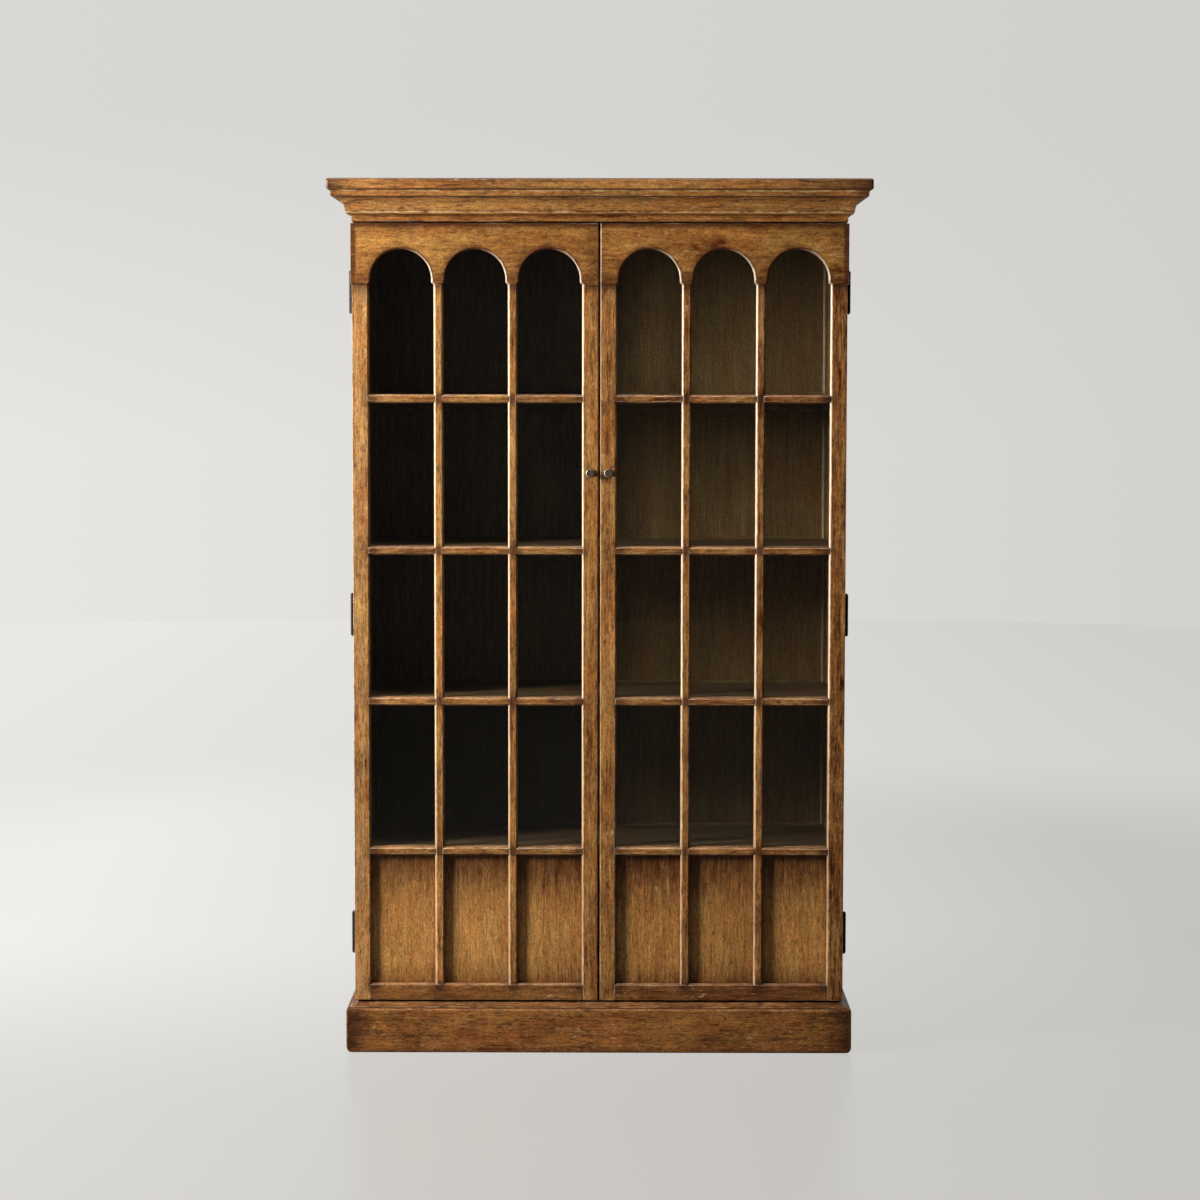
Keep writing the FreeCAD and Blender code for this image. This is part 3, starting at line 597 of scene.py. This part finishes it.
def moulded_length():
    """Carries a profile from one end of a moulding to the other; a lean gives each end its mitre."""
    tree, start, end = new_group(
        "moulded_length", {"Profile": "Geometry", "Start": "Vector", "Start Lean": "Vector", "End": "Vector",
                           "End Lean": "Vector", "Wood": "Material"}, {"Moulding": "Geometry"},
        kind="GeometryNodeTree")
    parts = place(tree, "ShaderNodeSeparateXYZ", {0: place(tree, "GeometryNodeInputPosition")[0]})
    rise = place(tree, "ShaderNodeCombineXYZ", {2: parts[2]})[0]
    ends = []
    for label in ("Start", "End"):
        lean = place(tree, "ShaderNodeVectorMath", {0: start[label + " Lean"], "Scale": parts[0]},
                     operation="SCALE")[0]
        at = place(tree, "ShaderNodeVectorMath", {0: start[label], 1: lean}, operation="ADD")[0]
        ends.append(place(tree, "ShaderNodeVectorMath", {0: at, 1: rise}, operation="ADD")[0])
    drawn = place(tree, "GeometryNodeExtrudeMesh", {"Mesh": start["Profile"], "Offset Scale": 0.0,
                                                    "Individual": False}, mode="FACES")
    where = place(tree, "GeometryNodeSwitch", {"Switch": drawn["Top"], "False": ends[0], "True": ends[1]},
                  input_type="VECTOR")[0]
    length = place(tree, "GeometryNodeSetPosition", {"Geometry": drawn["Mesh"], "Position": where})[0]
    near = place(tree, "GeometryNodeSetPosition", {"Geometry": start["Profile"], "Position": ends[0]})[0]
    near = place(tree, "GeometryNodeFlipFaces", {"Mesh": near})[0]
    whole = tree.nodes.new("GeometryNodeJoinGeometry")
    for part in (length, near):
        tree.links.new(part, whole.inputs[0])
    closed = place(tree, "GeometryNodeMergeByDistance", {"Geometry": whole.outputs[0], "Distance": 1e-6})[0]
    finish_tree(tree, end, closed, start["Wood"])
    return tree


def grown(name, source, tree, inputs):
    """Runs a node tree with its named inputs on a mesh, and gives what it makes as a plain mesh."""
    holder = bpy.data.objects.new(name, source)
    bpy.context.scene.collection.objects.link(holder)
    maker = holder.modifiers.new(name, "NODES")
    maker.node_group = tree
    sockets = {item.name: item.identifier for item in tree.interface.items_tree if item.in_out == "INPUT"}
    for label, value in inputs.items():
        maker[sockets[label]] = value
    bpy.context.view_layer.update()
    evaluated = holder.evaluated_get(bpy.context.evaluated_depsgraph_get())
    mesh = bpy.data.meshes.new_from_object(evaluated)
    holder.modifiers.clear()
    bpy.data.objects.remove(holder)
    return mesh


def cornice_dirt_and_painted_shade(tree):
    """Dark on the slab's top arris and worn ends, and painted shade in the line between each member and the
    next.
    """
    x, _, z = spot_on(tree)
    reach = spread(z, slab_z - 0.001, slab_z + 0.001, slab_high[0] - 0.075, slab_high[0] - 0.230)
    # Painted shade: dark stripes at the foot of the slab, under the crown member, at the foot of the cove and
    # along the foot of the frieze.
    lines = ((slab_z + 0.0012, 0.0022, 0.7), (crown_z - 0.001, 0.0030, 1.0),
             (cove_z + 0.0005, 0.0026, 0.95), (frieze_low[2], 0.0030, 0.9))
    return most(
        spread(x, reach, slab_high[0] - 0.012, 0.0, 1.0),
        spread(x, slab_low[0] + 0.060, slab_low[0] + 0.010, 0.0, 0.85),
        spread(z, slab_high[2] - 0.0065, slab_high[2] - 0.0015, 0.0, 0.95),
        *(stripe(z, *line) for line in lines))


def cornice_rubs_and_highlight(tree):
    """Rubbed pale along the top of the crown member, and a painted highlight along the belly of the nose."""
    z = spot_on(tree)[2]
    return most(stripe(z, slab_z - 0.0024, 0.0028, 1.3), stripe(z, nose_z + nose_radius, 0.0030, 1.3))


cornice_wood = waxed_wood(
    "cornice_wood", (0.115, 0.042, 0.010), (0.40, 0.190, 0.052), cloud=1.1, pores=1.1, nicks=1.5,
    patina_and_shade=0.9, worn=0.80, gloss=0.38, stains_and_shade=cornice_dirt_and_painted_shade, rubs_and_highlights=cornice_rubs_and_highlight, grime_and_shade=(0.040, 0.024, 0.012),
    rubbed=(0.66, 0.43, 0.20), edging=0.0)
# The frieze wood is a paler copy of the cornice wood, painted light where the nose shades it from the lamp
# above.
frieze_wood_painted_light = waxed_wood(
    "frieze_wood_painted_light", (0.165, 0.057, 0.012), (0.58, 0.265, 0.065), pores=0.9, patina_and_shade=0.85, worn=0.6,
    stains_and_shade=cornice_dirt_and_painted_shade, grime_and_shade=(0.060, 0.024, 0.010), edging=0.0)
worked("frieze_board", "carcass", frieze_wood_painted_light, 0, arris=0.0008, seed=30)

mitred = moulded_length()
front_y, back_y, side_x = frieze_low[1], slab_high[1], frieze_high[0]
left_corner, right_corner = ((-side_x, front_y, 0), (-1, -1, 0)), ((side_x, front_y, 0), (1, -1, 0))
left_tail, right_tail = ((-side_x, back_y, 0), (-1, 0, 0)), ((side_x, back_y, 0), (1, 0, 0))
for side, grain, near, far in (("front", 0, left_corner, right_corner), ("left", 1, left_tail, left_corner),
                               ("right", 1, right_corner, right_tail)):
    form = grown("moulding_" + side, moulding_profile(), mitred,
                 {"Start": near[0], "Start Lean": near[1], "End": far[0], "End Lean": far[1],
                  "Wood": cornice_wood})
    worked("cornice_moulding_" + side, "carcass", cornice_wood, grain, arris=0.0008,
           seed=31 + grain, tone=1.9, form=form)
worked("cornice_slab", "carcass", cornice_wood, 0, arris=0.0012, seed=35, tone=0.5)


# Door frames: stiles, bottom rail, unbroken mullions, and short muntins scribed to them, all with one
# bevel towards the glass. Honey-brown, with dark patina round every crossing where the wax gathers, painted
# shade under the heads, a painted shadow beside each knob, painted light paler towards the left, and a
# painted highlight on the bevels that face the left.

doors = ("left_door", "right_door")
doors_x = (-0.62, 0.62)
outer_left_x, outer_right_x = (-0.580, -0.600), (0.568, 0.590)
first_mullion, mullion_pitch, half_bar = 0.21767, 0.18567, 0.0173
first_muntin, muntin_pitch = 0.5125, 0.381
head_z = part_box("left_door_arch_board")[0][2]
rail_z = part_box("left_door_lower_panels")[0][2]
upright_lines = (first_mullion - mullion_pitch + half_bar, first_mullion, first_mullion + mullion_pitch,
                 first_mullion + 2 * mullion_pitch - half_bar)
cross_lines = [rail_z] + [first_muntin + muntin_pitch * i for i in range(4)]
knob_places = []
for door in doors:
    low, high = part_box(door + "_knob")
    knob_places.append(((low[0] + high[0]) / 2, (low[2] + high[2]) / 2))


def nearest(value, lines):
    """How far a value lies from the nearest of some lines."""
    return most(*(gap(value, line) for line in lines), way="MINIMUM")


def slant(across, up):
    """The straight distance made by a step across and a step up."""
    return sums("SQRT", plus(times(across, across), times(up, up)))


def painted_knob_shadow(x, z, strength):
    """Painted shadow: strength on the right of each knob and a little below it, where its shadow falls."""
    ways = [slant(less(x, knob_x + 0.009), times(less(z, knob_z - 0.001), 1.4))
            for knob_x, knob_z in knob_places]
    return spread(most(*ways, way="MINIMUM"), 0.007, 0.015, strength, 0.0, soft=True)


def crossing_dirt_and_painted_shade(tree):
    """Dark where bars cross or meet a stile, fading out over a few centimetres; a painted shadow beside the
    knobs; and painted shade under the heads."""
    x, _, z = spot_on(tree)
    away = slant(nearest(sums("ABSOLUTE", x), upright_lines), nearest(z, cross_lines))
    return most(
        spread(away, 0.006, 0.048, 0.66, 0.0, soft=True), spread(away, 0.007, 0.017, 1.6, 0.0, soft=True),
        painted_knob_shadow(x, z, 1.6), spread(z, head_z - 0.034, head_z - 0.006, 0.0, 0.95))


def painted_light_door_tones(tree):
    """Painted light and shade: paler towards the left, where the window light comes from, darker on the right
    outer stile, and a painted shadow beside the knobs."""
    x, _, z = spot_on(tree)
    outer = less(spread(x, *outer_left_x, 0.0, 0.1), spread(x, *outer_right_x, 0.0, 0.9))
    tone = plus(spread(x, *doors_x, 0.8, -1.0), outer)
    return less(tone, painted_knob_shadow(x, z, 2.6))


def paler_hinge_side(tree):
    """The left door's outer stile is a little paler towards its outer edge."""
    return spread(spot_on(tree)[0], *outer_left_x, 0.0, 0.12)


frame_wear = {"edge_width": 0.006, "rim_width": 0.0016}
door_wood = waxed_wood(
    "door_wood", (0.155, 0.056, 0.012), (0.51, 0.258, 0.076), patina_and_shade=0.84, worn=0.75, stains_and_shade=crossing_dirt_and_painted_shade,
    rubs_and_highlights=paler_hinge_side, paler=painted_light_door_tones, grime_and_shade=(0.048, 0.017, 0.006), rubbed=(0.80, 0.64, 0.42),
    edging=0.62, coat=0.58, face_y=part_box("left_door_meeting_stile")[0][1], **frame_wear)
rail_wood = waxed_wood(
    "rail_wood", (0.120, 0.043, 0.010), (0.31, 0.138, 0.035), pores=0.9, patina_and_shade=0.84, ruddy=0.9,
    stains_and_shade=crossing_dirt_and_painted_shade, grime_and_shade=(0.048, 0.017, 0.006), edging=0.62, **frame_wear)
for number, door in enumerate(doors):
    for piece, wood, grain, tone in (
            ("meeting_stile", door_wood, 2, 0.6 * number - 0.6), ("hinge_stile", door_wood, 2, 0),
            ("mullions", door_wood, 2, 0), ("bottom_rail", rail_wood, 0, -0.1 - 0.2 * number),
            ("muntins", door_wood, 0, 0.7 * number - 0.8)):
        worked(door + "_" + piece, door, wood, grain, arris=0.0007, seed=40 + number * 10,
               uneven=0.0002, step=0.035, tone=tone, polish_and_painted_highlight=True)


# Arch boards: one board a door with three half-round heads, a little proud of the uprights and lapped
# over them. The palest, most golden wood, with a worn bevel round every arch, painted pale as a highlight
# where it faces the left, and painted shade round the heads' left sides and under the frieze.

first_arch, arch_pitch, arch_radius, over_arch = 0.12483, 0.18567, 0.07553, 0.0645
arch_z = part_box("left_door_arch_board")[1][2] - over_arch - arch_radius
board_end_x, board_top_z = (0.604, 0.612), (2.072, 2.090)
meeting_edge_x = -0.012


def beside_arch(x):
    """How far a place lies to the right of the nearest head's middle."""
    off = less(sums("ABSOLUTE", x), first_arch)
    head = sums("ROUND", sums("DIVIDE", off, arch_pitch))
    head = most(sums("MINIMUM", head, 2.0), 0.0)
    off = less(off, times(head, arch_pitch))
    return times(off, sums("SIGN", x))


def shaded_heads(tree):
    """Painted shade: the pale arrises are held back on the left of each head and over its crown, which face
    away from the light.
    """
    return spread(beside_arch(spot_on(tree)[0]), 0.016, 0.050, 0.0, 1.0)


def arch_dirt_and_painted_shade(tree):
    """Dark round the heads and at their feet, dirt with painted shade that widens on their left, away from
    the light; dark at the board's ends and by the meeting edge; painted shade along the top under the frieze;
    and dirt with painted shade along the lower edge over the uprights.
    """
    x, _, z = spot_on(tree)
    aside = beside_arch(x)
    up = most(less(z, arch_z), 0.0)
    away = less(slant(aside, up), arch_radius)
    wide = spread(aside, -0.03, 0.03, 0.030, 0.014)
    return most(
        spread(away, 0.002, wide, 0.66, 0.0, soft=True), spread(away, 0.0035, 0.0085, 1.4, 0.0),
        spread(sums("ABSOLUTE", x), *board_end_x, 0.0, 0.9),
        spread(gap(x, meeting_edge_x), 0.004, 0.050, 0.5, 0.0, soft=True),
        spread(z, head_z + 0.004, head_z + 0.065, 0.66, 0.0, soft=True),
        spread(z, head_z + 0.0015, head_z + 0.005, 1.5, 0.0),
        spread(z, *board_top_z, 0.0, 1.1, soft=True))


arch_wood = waxed_wood(
    "arch_wood", (0.153, 0.056, 0.011), (0.455, 0.224, 0.056), cloud=1.5, figure=0.6, pores=0.55,
    patina_and_shade=0.92, worn=0.85, stains_and_shade=arch_dirt_and_painted_shade, spared=shaded_heads, paler=painted_light_door_tones,
    grime_and_shade=(0.044, 0.015, 0.006), rubbed=(0.80, 0.64, 0.44), edging=0.7, coat=0.7,
    face_y=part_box("left_door_arch_board")[0][1], **frame_wear)
for number, door in enumerate(doors):
    worked(door + "_arch_board", door, arch_wood, 0, arris=0.0007, seed=60 + number,
           polish_and_painted_highlight=True)


# Lower panels: thin boards with upright grain in the lowest lights, paler in the middle where they have
# been wiped, dark in the corners, with painted shade under the bars and painted light towards the left.
# Held from behind by beads pinned into the rebates.

panel_top_z, heart_top_z, heart_foot_z = (0.36, 0.50), (0.50, 0.30), (0.17, 0.24)


def painted_shade_panel_heads(tree):
    """Painted shade: darker and redder near the top of each panel, under the bar."""
    return spread(spot_on(tree)[2], *panel_top_z, 0.0, 0.66, soft=True)


def panel_hearts_and_painted_light(tree):
    """Wiped more golden a little below the middle, darker towards the top as painted shade under the bar, and
    paler towards the left as painted light.
    """
    x, _, z = spot_on(tree)
    heart = sums("MINIMUM", spread(z, *heart_top_z, -1.6, 2.0, soft=True),
                 spread(z, *heart_foot_z, -0.6, 2.0, soft=True))
    return plus(heart, spread(x, *doors_x, 0.2, -1.1))


panel_wood = waxed_wood(
    "panel_wood", (0.165, 0.063, 0.015), (0.48, 0.238, 0.068), cloud=0.6, figure=0.9, pores=0.7, nicks=0.8,
    ruddy=0.7, patina_and_shade=0.85, worn=0.2, corner=0.045, stains_and_shade=painted_shade_panel_heads, paler=panel_hearts_and_painted_light,
    grime_and_shade=(0.060, 0.022, 0.009), edging=0)
for number, door in enumerate(doors):
    worked(door + "_lower_panels", door, panel_wood, 2, arris=0.0003, seed=70 + number)
    worked(door + "_glazing_beads", door, door_wood, 2, arris=0.0005, seed=72 + number,
           each_alone=True)


# Window glass: flat 3 mm panes, square below and arch-headed at the top, clear with a faint green cast.
# They are let into the rebates from behind and held by the beads.

clear_glass, tree, surface = new_material("clear_glass")
feed(tree, surface, {"Base Color": (0.95, 0.97, 0.95, 1), "Roughness": 0.02, "IOR": 1.45,
                     "Transmission Weight": 1.0})
clear = place(tree, "ShaderNodeBsdfTransparent", {"Color": (0.93, 0.95, 0.93, 1)})[0]
rays = place(tree, "ShaderNodeLightPath")
passing = most(rays["Is Shadow Ray"], rays["Is Diffuse Ray"])
both = place(tree, "ShaderNodeMixShader", {0: passing, 1: surface.outputs[0], 2: clear})[0]
feed(tree, tree.nodes["Material Output"], {"Surface": both})
for door in doors:
    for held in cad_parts[door + "_glass_panes"].material_slots:
        held.material = clear_glass


# Hinges: blackened iron, three a side, their leaves on the outer faces and their barrels standing out
# beside the doors. Each pin has a tapered tip at both ends, and countersunk screws hold the leaves.

def old_metal(name, colour, bright, metallic, rough, wear=0.5, coat=0.0):
    """Metal with a dull skin that has worn brighter on the arrises and in patches, and is painted bright as a
    highlight on faces marked as turned to the left.
    """
    material, tree, surface = new_material(name)
    skin = streaks(place(tree, "ShaderNodeTexCoord")["Object"], 160, 160, 4, 0.65)
    bare = most(times(mark(tree, "arris"), 0.8), spread(skin, 0.60, 0.75))
    # Painted highlight: faces that the slope mark turns to the left take the bright colour.
    bare = spread(most(times(bare, wear), mark(tree, "slope")), 0.0, 1.0)
    relief = place(tree, "ShaderNodeBump", {"Strength": 0.4, "Distance": 0.0002, "Height": skin})["Normal"]
    feed(tree, surface, {"Base Color": blend(bare, (*colour, 1), (*bright, 1)),
                         "Roughness": sums("MULTIPLY_ADD", skin, 0.3, rough), "Metallic": metallic,
                         "Coat Weight": coat, "Coat Roughness": 0.12, "Normal": relief})
    return material


dark_iron = old_metal("dark_iron", (0.018, 0.013, 0.011), (0.09, 0.065, 0.05), 0.6, 0.42)
for node, body in (("hinge_frame_leaves_left", "carcass"), ("hinge_frame_leaves_right", "carcass"),
                   ("hinge_pins", "carcass"), ("left_door_hinge_leaves", "left_door"),
                   ("right_door_hinge_leaves", "right_door")):
    worked(node, body, dark_iron, 2, arris=0.0003, seed=80)

screw_steel = old_metal("screw_steel", (0.075, 0.060, 0.048), (0.30, 0.26, 0.22), 0.9, 0.38)
screw_sizes = ("Head Radius", "Head Foot Radius", "Head Depth", "Shank Radius", "Length", "Slot Width",
               "Slot Depth")


def slotted_screws():
    """A slotted screw at each point of a mesh, turned as its lay says, with its slot at any angle."""
    tree, start, end = new_group(
        "slotted_screws", {"Places": "Geometry", **{label: "Float" for label in screw_sizes}, "Seed": "Int",
                           "Metal": "Material"}, {"Screws": "Geometry"}, kind="GeometryNodeTree")
    depth = start["Head Depth"]

    def along(*steps):
        return place(tree, "ShaderNodeCombineXYZ", enumerate(steps))[0]

    def moved(shape, z):
        return place(tree, "GeometryNodeTransform", {"Geometry": shape, "Translation": along(0, 0, z)})[0]

    head = place(tree, "GeometryNodeMeshCone", {
        "Vertices": 24, "Radius Top": start["Head Radius"], "Radius Bottom": start["Head Foot Radius"],
        "Depth": depth})[0]
    head = moved(head, times(depth, -1.0))
    shank = place(tree, "GeometryNodeMeshCylinder", {
        "Vertices": 16, "Radius": start["Shank Radius"],
        "Depth": less(start["Length"], times(depth, 0.6))})[0]
    shank = moved(shank, times(sums("MULTIPLY_ADD", depth, 0.6, start["Length"]), -0.5))
    whole = tree.nodes.new("GeometryNodeMeshBoolean")
    whole.operation, whole.solver = "UNION", "EXACT"
    for part in (head, shank):
        tree.links.new(part, whole.inputs["Mesh 2"])
    size = along(start["Slot Width"], times(start["Head Radius"], 2.4), times(start["Slot Depth"], 2.0))
    slot = place(tree, "GeometryNodeMeshCube", {"Size": size})[0]
    screw = place(tree, "GeometryNodeMeshBoolean", {"Mesh 1": whole.outputs[0], "Mesh 2": slot},
                  operation="DIFFERENCE", solver="EXACT")[0]
    lay = place(tree, "GeometryNodeInputNamedAttribute", {"Name": "lay"}, data_type="FLOAT_VECTOR")[0]
    lay = place(tree, "FunctionNodeEulerToRotation", {0: lay})[0]
    set_in = place(tree, "GeometryNodeInstanceOnPoints", {"Points": start["Places"], "Instance": screw,
                                                          "Rotation": lay})[0]
    turn = place(tree, "FunctionNodeRandomValue", {2: 0.0, 3: math.pi, 8: start["Seed"]},
                 data_type="FLOAT")[1]
    turn = place(tree, "FunctionNodeEulerToRotation", {0: along(0, 0, turn)})[0]
    driven = place(tree, "GeometryNodeRotateInstances", {"Instances": set_in, "Rotation": turn,
                                                         "Local Space": True})[0]
    finish_tree(tree, end, driven, start["Metal"])
    return tree


def screw_places(node, axis):
    """One point for each screw of a node: the middle of its head's face, and how it lies."""
    bm = bmesh.new()
    bm.from_mesh(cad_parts[node].data)
    bmesh.ops.remove_doubles(bm, verts=bm.verts, dist=1e-5)
    number, count = loose_parts(bm)
    groups = [[] for _ in range(count)]
    for v, i in number.items():
        groups[i].append(v.co.copy())
    bm.free()
    spots, lays = [], []
    for group in groups:
        low = [min(co[k] for co in group) for k in range(3)]
        high = [max(co[k] for co in group) for k in range(3)]
        spot = [(a + b) / 2 for a, b in zip(low, high)]
        outward = 1 if axis == 1 or spot[0] > 0 else -1
        spot[axis] = high[axis] if outward > 0 else low[axis]
        spots.append(spot)
        lays += (-math.pi / 2, 0, 0) if axis == 1 else (0, outward * math.pi / 2, 0)
    mesh = bpy.data.meshes.new(node + "_places")
    mesh.from_pydata(spots, [], [])
    mesh.attributes.new("lay", "FLOAT_VECTOR", "POINT")
    mesh.attributes["lay"].data.foreach_set("vector", lays)
    return mesh


slotted = slotted_screws()


def screwed(node, body, axis, sizes, turns, arris, seed):
    """Draws a node's screws with slots, along the axis; the sizes are in the order of screw_sizes."""
    form = grown(node, screw_places(node, axis), slotted,
                 {**dict(zip(screw_sizes, sizes)), "Seed": turns, "Metal": screw_steel})
    worked(node, body, screw_steel, axis, arris=arris, seed=seed, form=form)


for number, (node, body) in enumerate((("hinge_frame_screws", "carcass"),
                                       ("left_door_hinge_screws", "left_door"),
                                       ("right_door_hinge_screws", "right_door"))):
    screwed(node, body, 0, (0.0032, 0.0015, 0.002, 0.0015, 0.016, 0.0009, 0.0008), number, 0.00015,
            97 + number)


# Knobs: small turned bronze knobs with a raised rim, one on each meeting stile, screwed from behind.
# The bronze has gone nearly black, and the rim shines where fingers rub it, with a painted highlight on its
# left side.

aged_bronze = old_metal(
    "aged_bronze", (0.125, 0.102, 0.074), (0.66, 0.56, 0.42), 0.45, 0.10, wear=0.8, coat=0.8)
for door in doors:
    worked(door + "_knob", door, aged_bronze, 1, arris=0.0004, seed=90, polish_and_painted_highlight=True)
    low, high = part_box(door + "_knob_screw")
    screwed(door + "_knob_screw", door, 1,
            (0.0045, 0.0045, 0.0024, 0.002, high[1] - low[1], 0.0012, 0.0011), 7, 0.0003, 91)


# Catches: for each door a round plated magnet, let into the front edge of the ceiling board.
# It meets a thin steel disc on the back of the door.

magnet_metal = old_metal("magnet_metal", (0.30, 0.30, 0.29), (0.5, 0.5, 0.48), 0.9, 0.35)
worked("catch_magnets", "carcass", magnet_metal, 1, arris=0.0003, seed=95)
for door in doors:
    worked(door + "_catch_strike", door, screw_steel, 1, arris=0.0002, seed=96)


# The room: a plain pale floor with a little gloss, and a pale surround, brighter on the left.
# Straight to the eye they show plain colours, the floor glowing with painted light and keeping a third of its
# own shading, brighter at the left and towards the back and dimmer to the right; as light on the cabinet they
# are dim.

floor_radius = 6.2
left_wall, left_far = (0.70, 0.69, 0.66, 1), (0.82, 0.81, 0.79, 1)
right_wall = right_far = (0.63, 0.62, 0.59, 1)
bm = bmesh.new()
bmesh.ops.create_circle(bm, cap_ends=True, segments=128, radius=floor_radius * 2.2)
bmesh.ops.translate(bm, vec=(0, 0, -0.0005), verts=bm.verts)
floor_mesh = bpy.data.meshes.new("floor")
bm.to_mesh(floor_mesh)
bm.free()
floor = bpy.data.objects.new("floor", floor_mesh)
bpy.context.scene.collection.objects.link(floor)


def straight_through(tree):
    """One where the eye looks at the room itself, also through glass, and nought in a mirrored view."""
    rays = place(tree, "ShaderNodeLightPath")
    first = times(sums("LESS_THAN", rays["Glossy Depth"], 0.5), rays["Is Transmission Ray"])
    return most(rays["Is Camera Ray"], first)


pale_floor, tree, surface = new_material("pale_floor")
feed(tree, surface, {"Base Color": (0.11, 0.107, 0.10, 1), "Roughness": 0.30})
spot = place(tree, "ShaderNodeTexCoord")["Object"]
parts = place(tree, "ShaderNodeSeparateXYZ", {0: spot})
away = place(tree, "ShaderNodeVectorMath", {0: spot}, operation="LENGTH")["Value"]
fade = spread(away, floor_radius * 0.55, floor_radius, soft=True)
back = spread(parts[1], -0.9, 1.5, soft=True)
# Painted light: the floor's glow grows brighter towards the back and at the left, and dimmer to the right.
pale = blend(back, (0.89, 0.88, 0.85, 1), (1.16, 1.15, 1.12, 1))
pale = blend(spread(parts[0], -1.8, 1.8), pale, (0.72, 0.705, 0.665, 1))
distant = blend(spread(parts[0], -3.4, 3.4), left_far, right_far)
glow, haze = (place(tree, "ShaderNodeEmission", {"Color": colour})[0] for colour in (pale, distant))
near = place(tree, "ShaderNodeMixShader", {0: 0.66, 1: surface.outputs[0], 2: glow})[0]
far = place(tree, "ShaderNodeMixShader", {0: fade, 1: near, 2: haze})[0]
both = place(tree, "ShaderNodeMixShader", {0: straight_through(tree), 1: surface.outputs[0], 2: far})[0]
feed(tree, tree.nodes["Material Output"], {"Surface": both})
floor_mesh.materials.append(pale_floor)

world = bpy.data.worlds.new("surround")
bpy.context.scene.world = world
world.use_nodes = True
tree = world.node_tree
parts = place(tree, "ShaderNodeSeparateXYZ", {0: place(tree, "ShaderNodeTexCoord")["Generated"]})
behind = spread(parts[1], -0.05, 0.45)
dim = blend(behind, (0.036, 0.032, 0.027, 1), (0.75, 0.73, 0.70, 1))
across = spread(parts[0], -0.25, 0.25)
pale = blend(spread(parts[2], -0.02, 0.09), blend(across, left_far, right_far),
             blend(across, left_wall, right_wall))
feed(tree, tree.nodes["Background"], {"Color": blend(straight_through(tree), dim, pale)})


# The light: a window at the left in front, an upright strip at the left that catches the bevels facing
# it, and a soft lamp above.

def softbox(name, place_at, aim_at, width, height, power, colour):
    """A flat lamp of the given size in metres and power in watts."""
    lamp = bpy.data.lights.new(name, "AREA")
    lamp.shape = "RECTANGLE"
    lamp.size = width
    lamp.size_y = height
    lamp.energy = power
    lamp.color = colour
    holder = bpy.data.objects.new(name, lamp)
    holder.location = place_at
    holder.rotation_euler = (Vector(aim_at) - Vector(place_at)).to_track_quat("-Z", "Y").to_euler()
    bpy.context.scene.collection.objects.link(holder)


softbox("window_light", (-3.45, -1.62, 2.45), (0.0, -0.1, 1.35), 0.70, 1.3, 318, (1.0, 0.98, 0.95))
softbox("rim_light", (-3.3, -0.20, 1.40), (0.0, -0.16, 1.25), 0.75, 1.9, 78, (1.0, 0.99, 0.95))
softbox("top_light", (-0.4, -0.78, 4.3), (0.0, -0.16, 1.0), 2.4, 0.6, 60, (1.0, 0.98, 0.95))


# The camera stands in front, a little above the middle of the doors, and looks slightly down.

pitch, yaw, roll = 0.0737, 0.0045, 0.0013
ahead = Vector((-math.sin(yaw) * math.cos(pitch), math.cos(yaw) * math.cos(pitch), -math.sin(pitch)))
view = bpy.data.cameras.new("camera")
view.lens = 87.94
view.sensor_width = 36.0
view.clip_end = 60.0
camera = bpy.data.objects.new("camera", view)
camera.matrix_world = ahead.to_track_quat("-Z", "Y").to_matrix().to_4x4()
camera.rotation_euler.rotate_axis("Z", roll)
camera.location = (0.0349, -7.5195, 1.6938)
bpy.context.scene.collection.objects.link(camera)
bpy.context.scene.camera = camera

bpy.context.scene.view_settings.view_transform = "Standard"
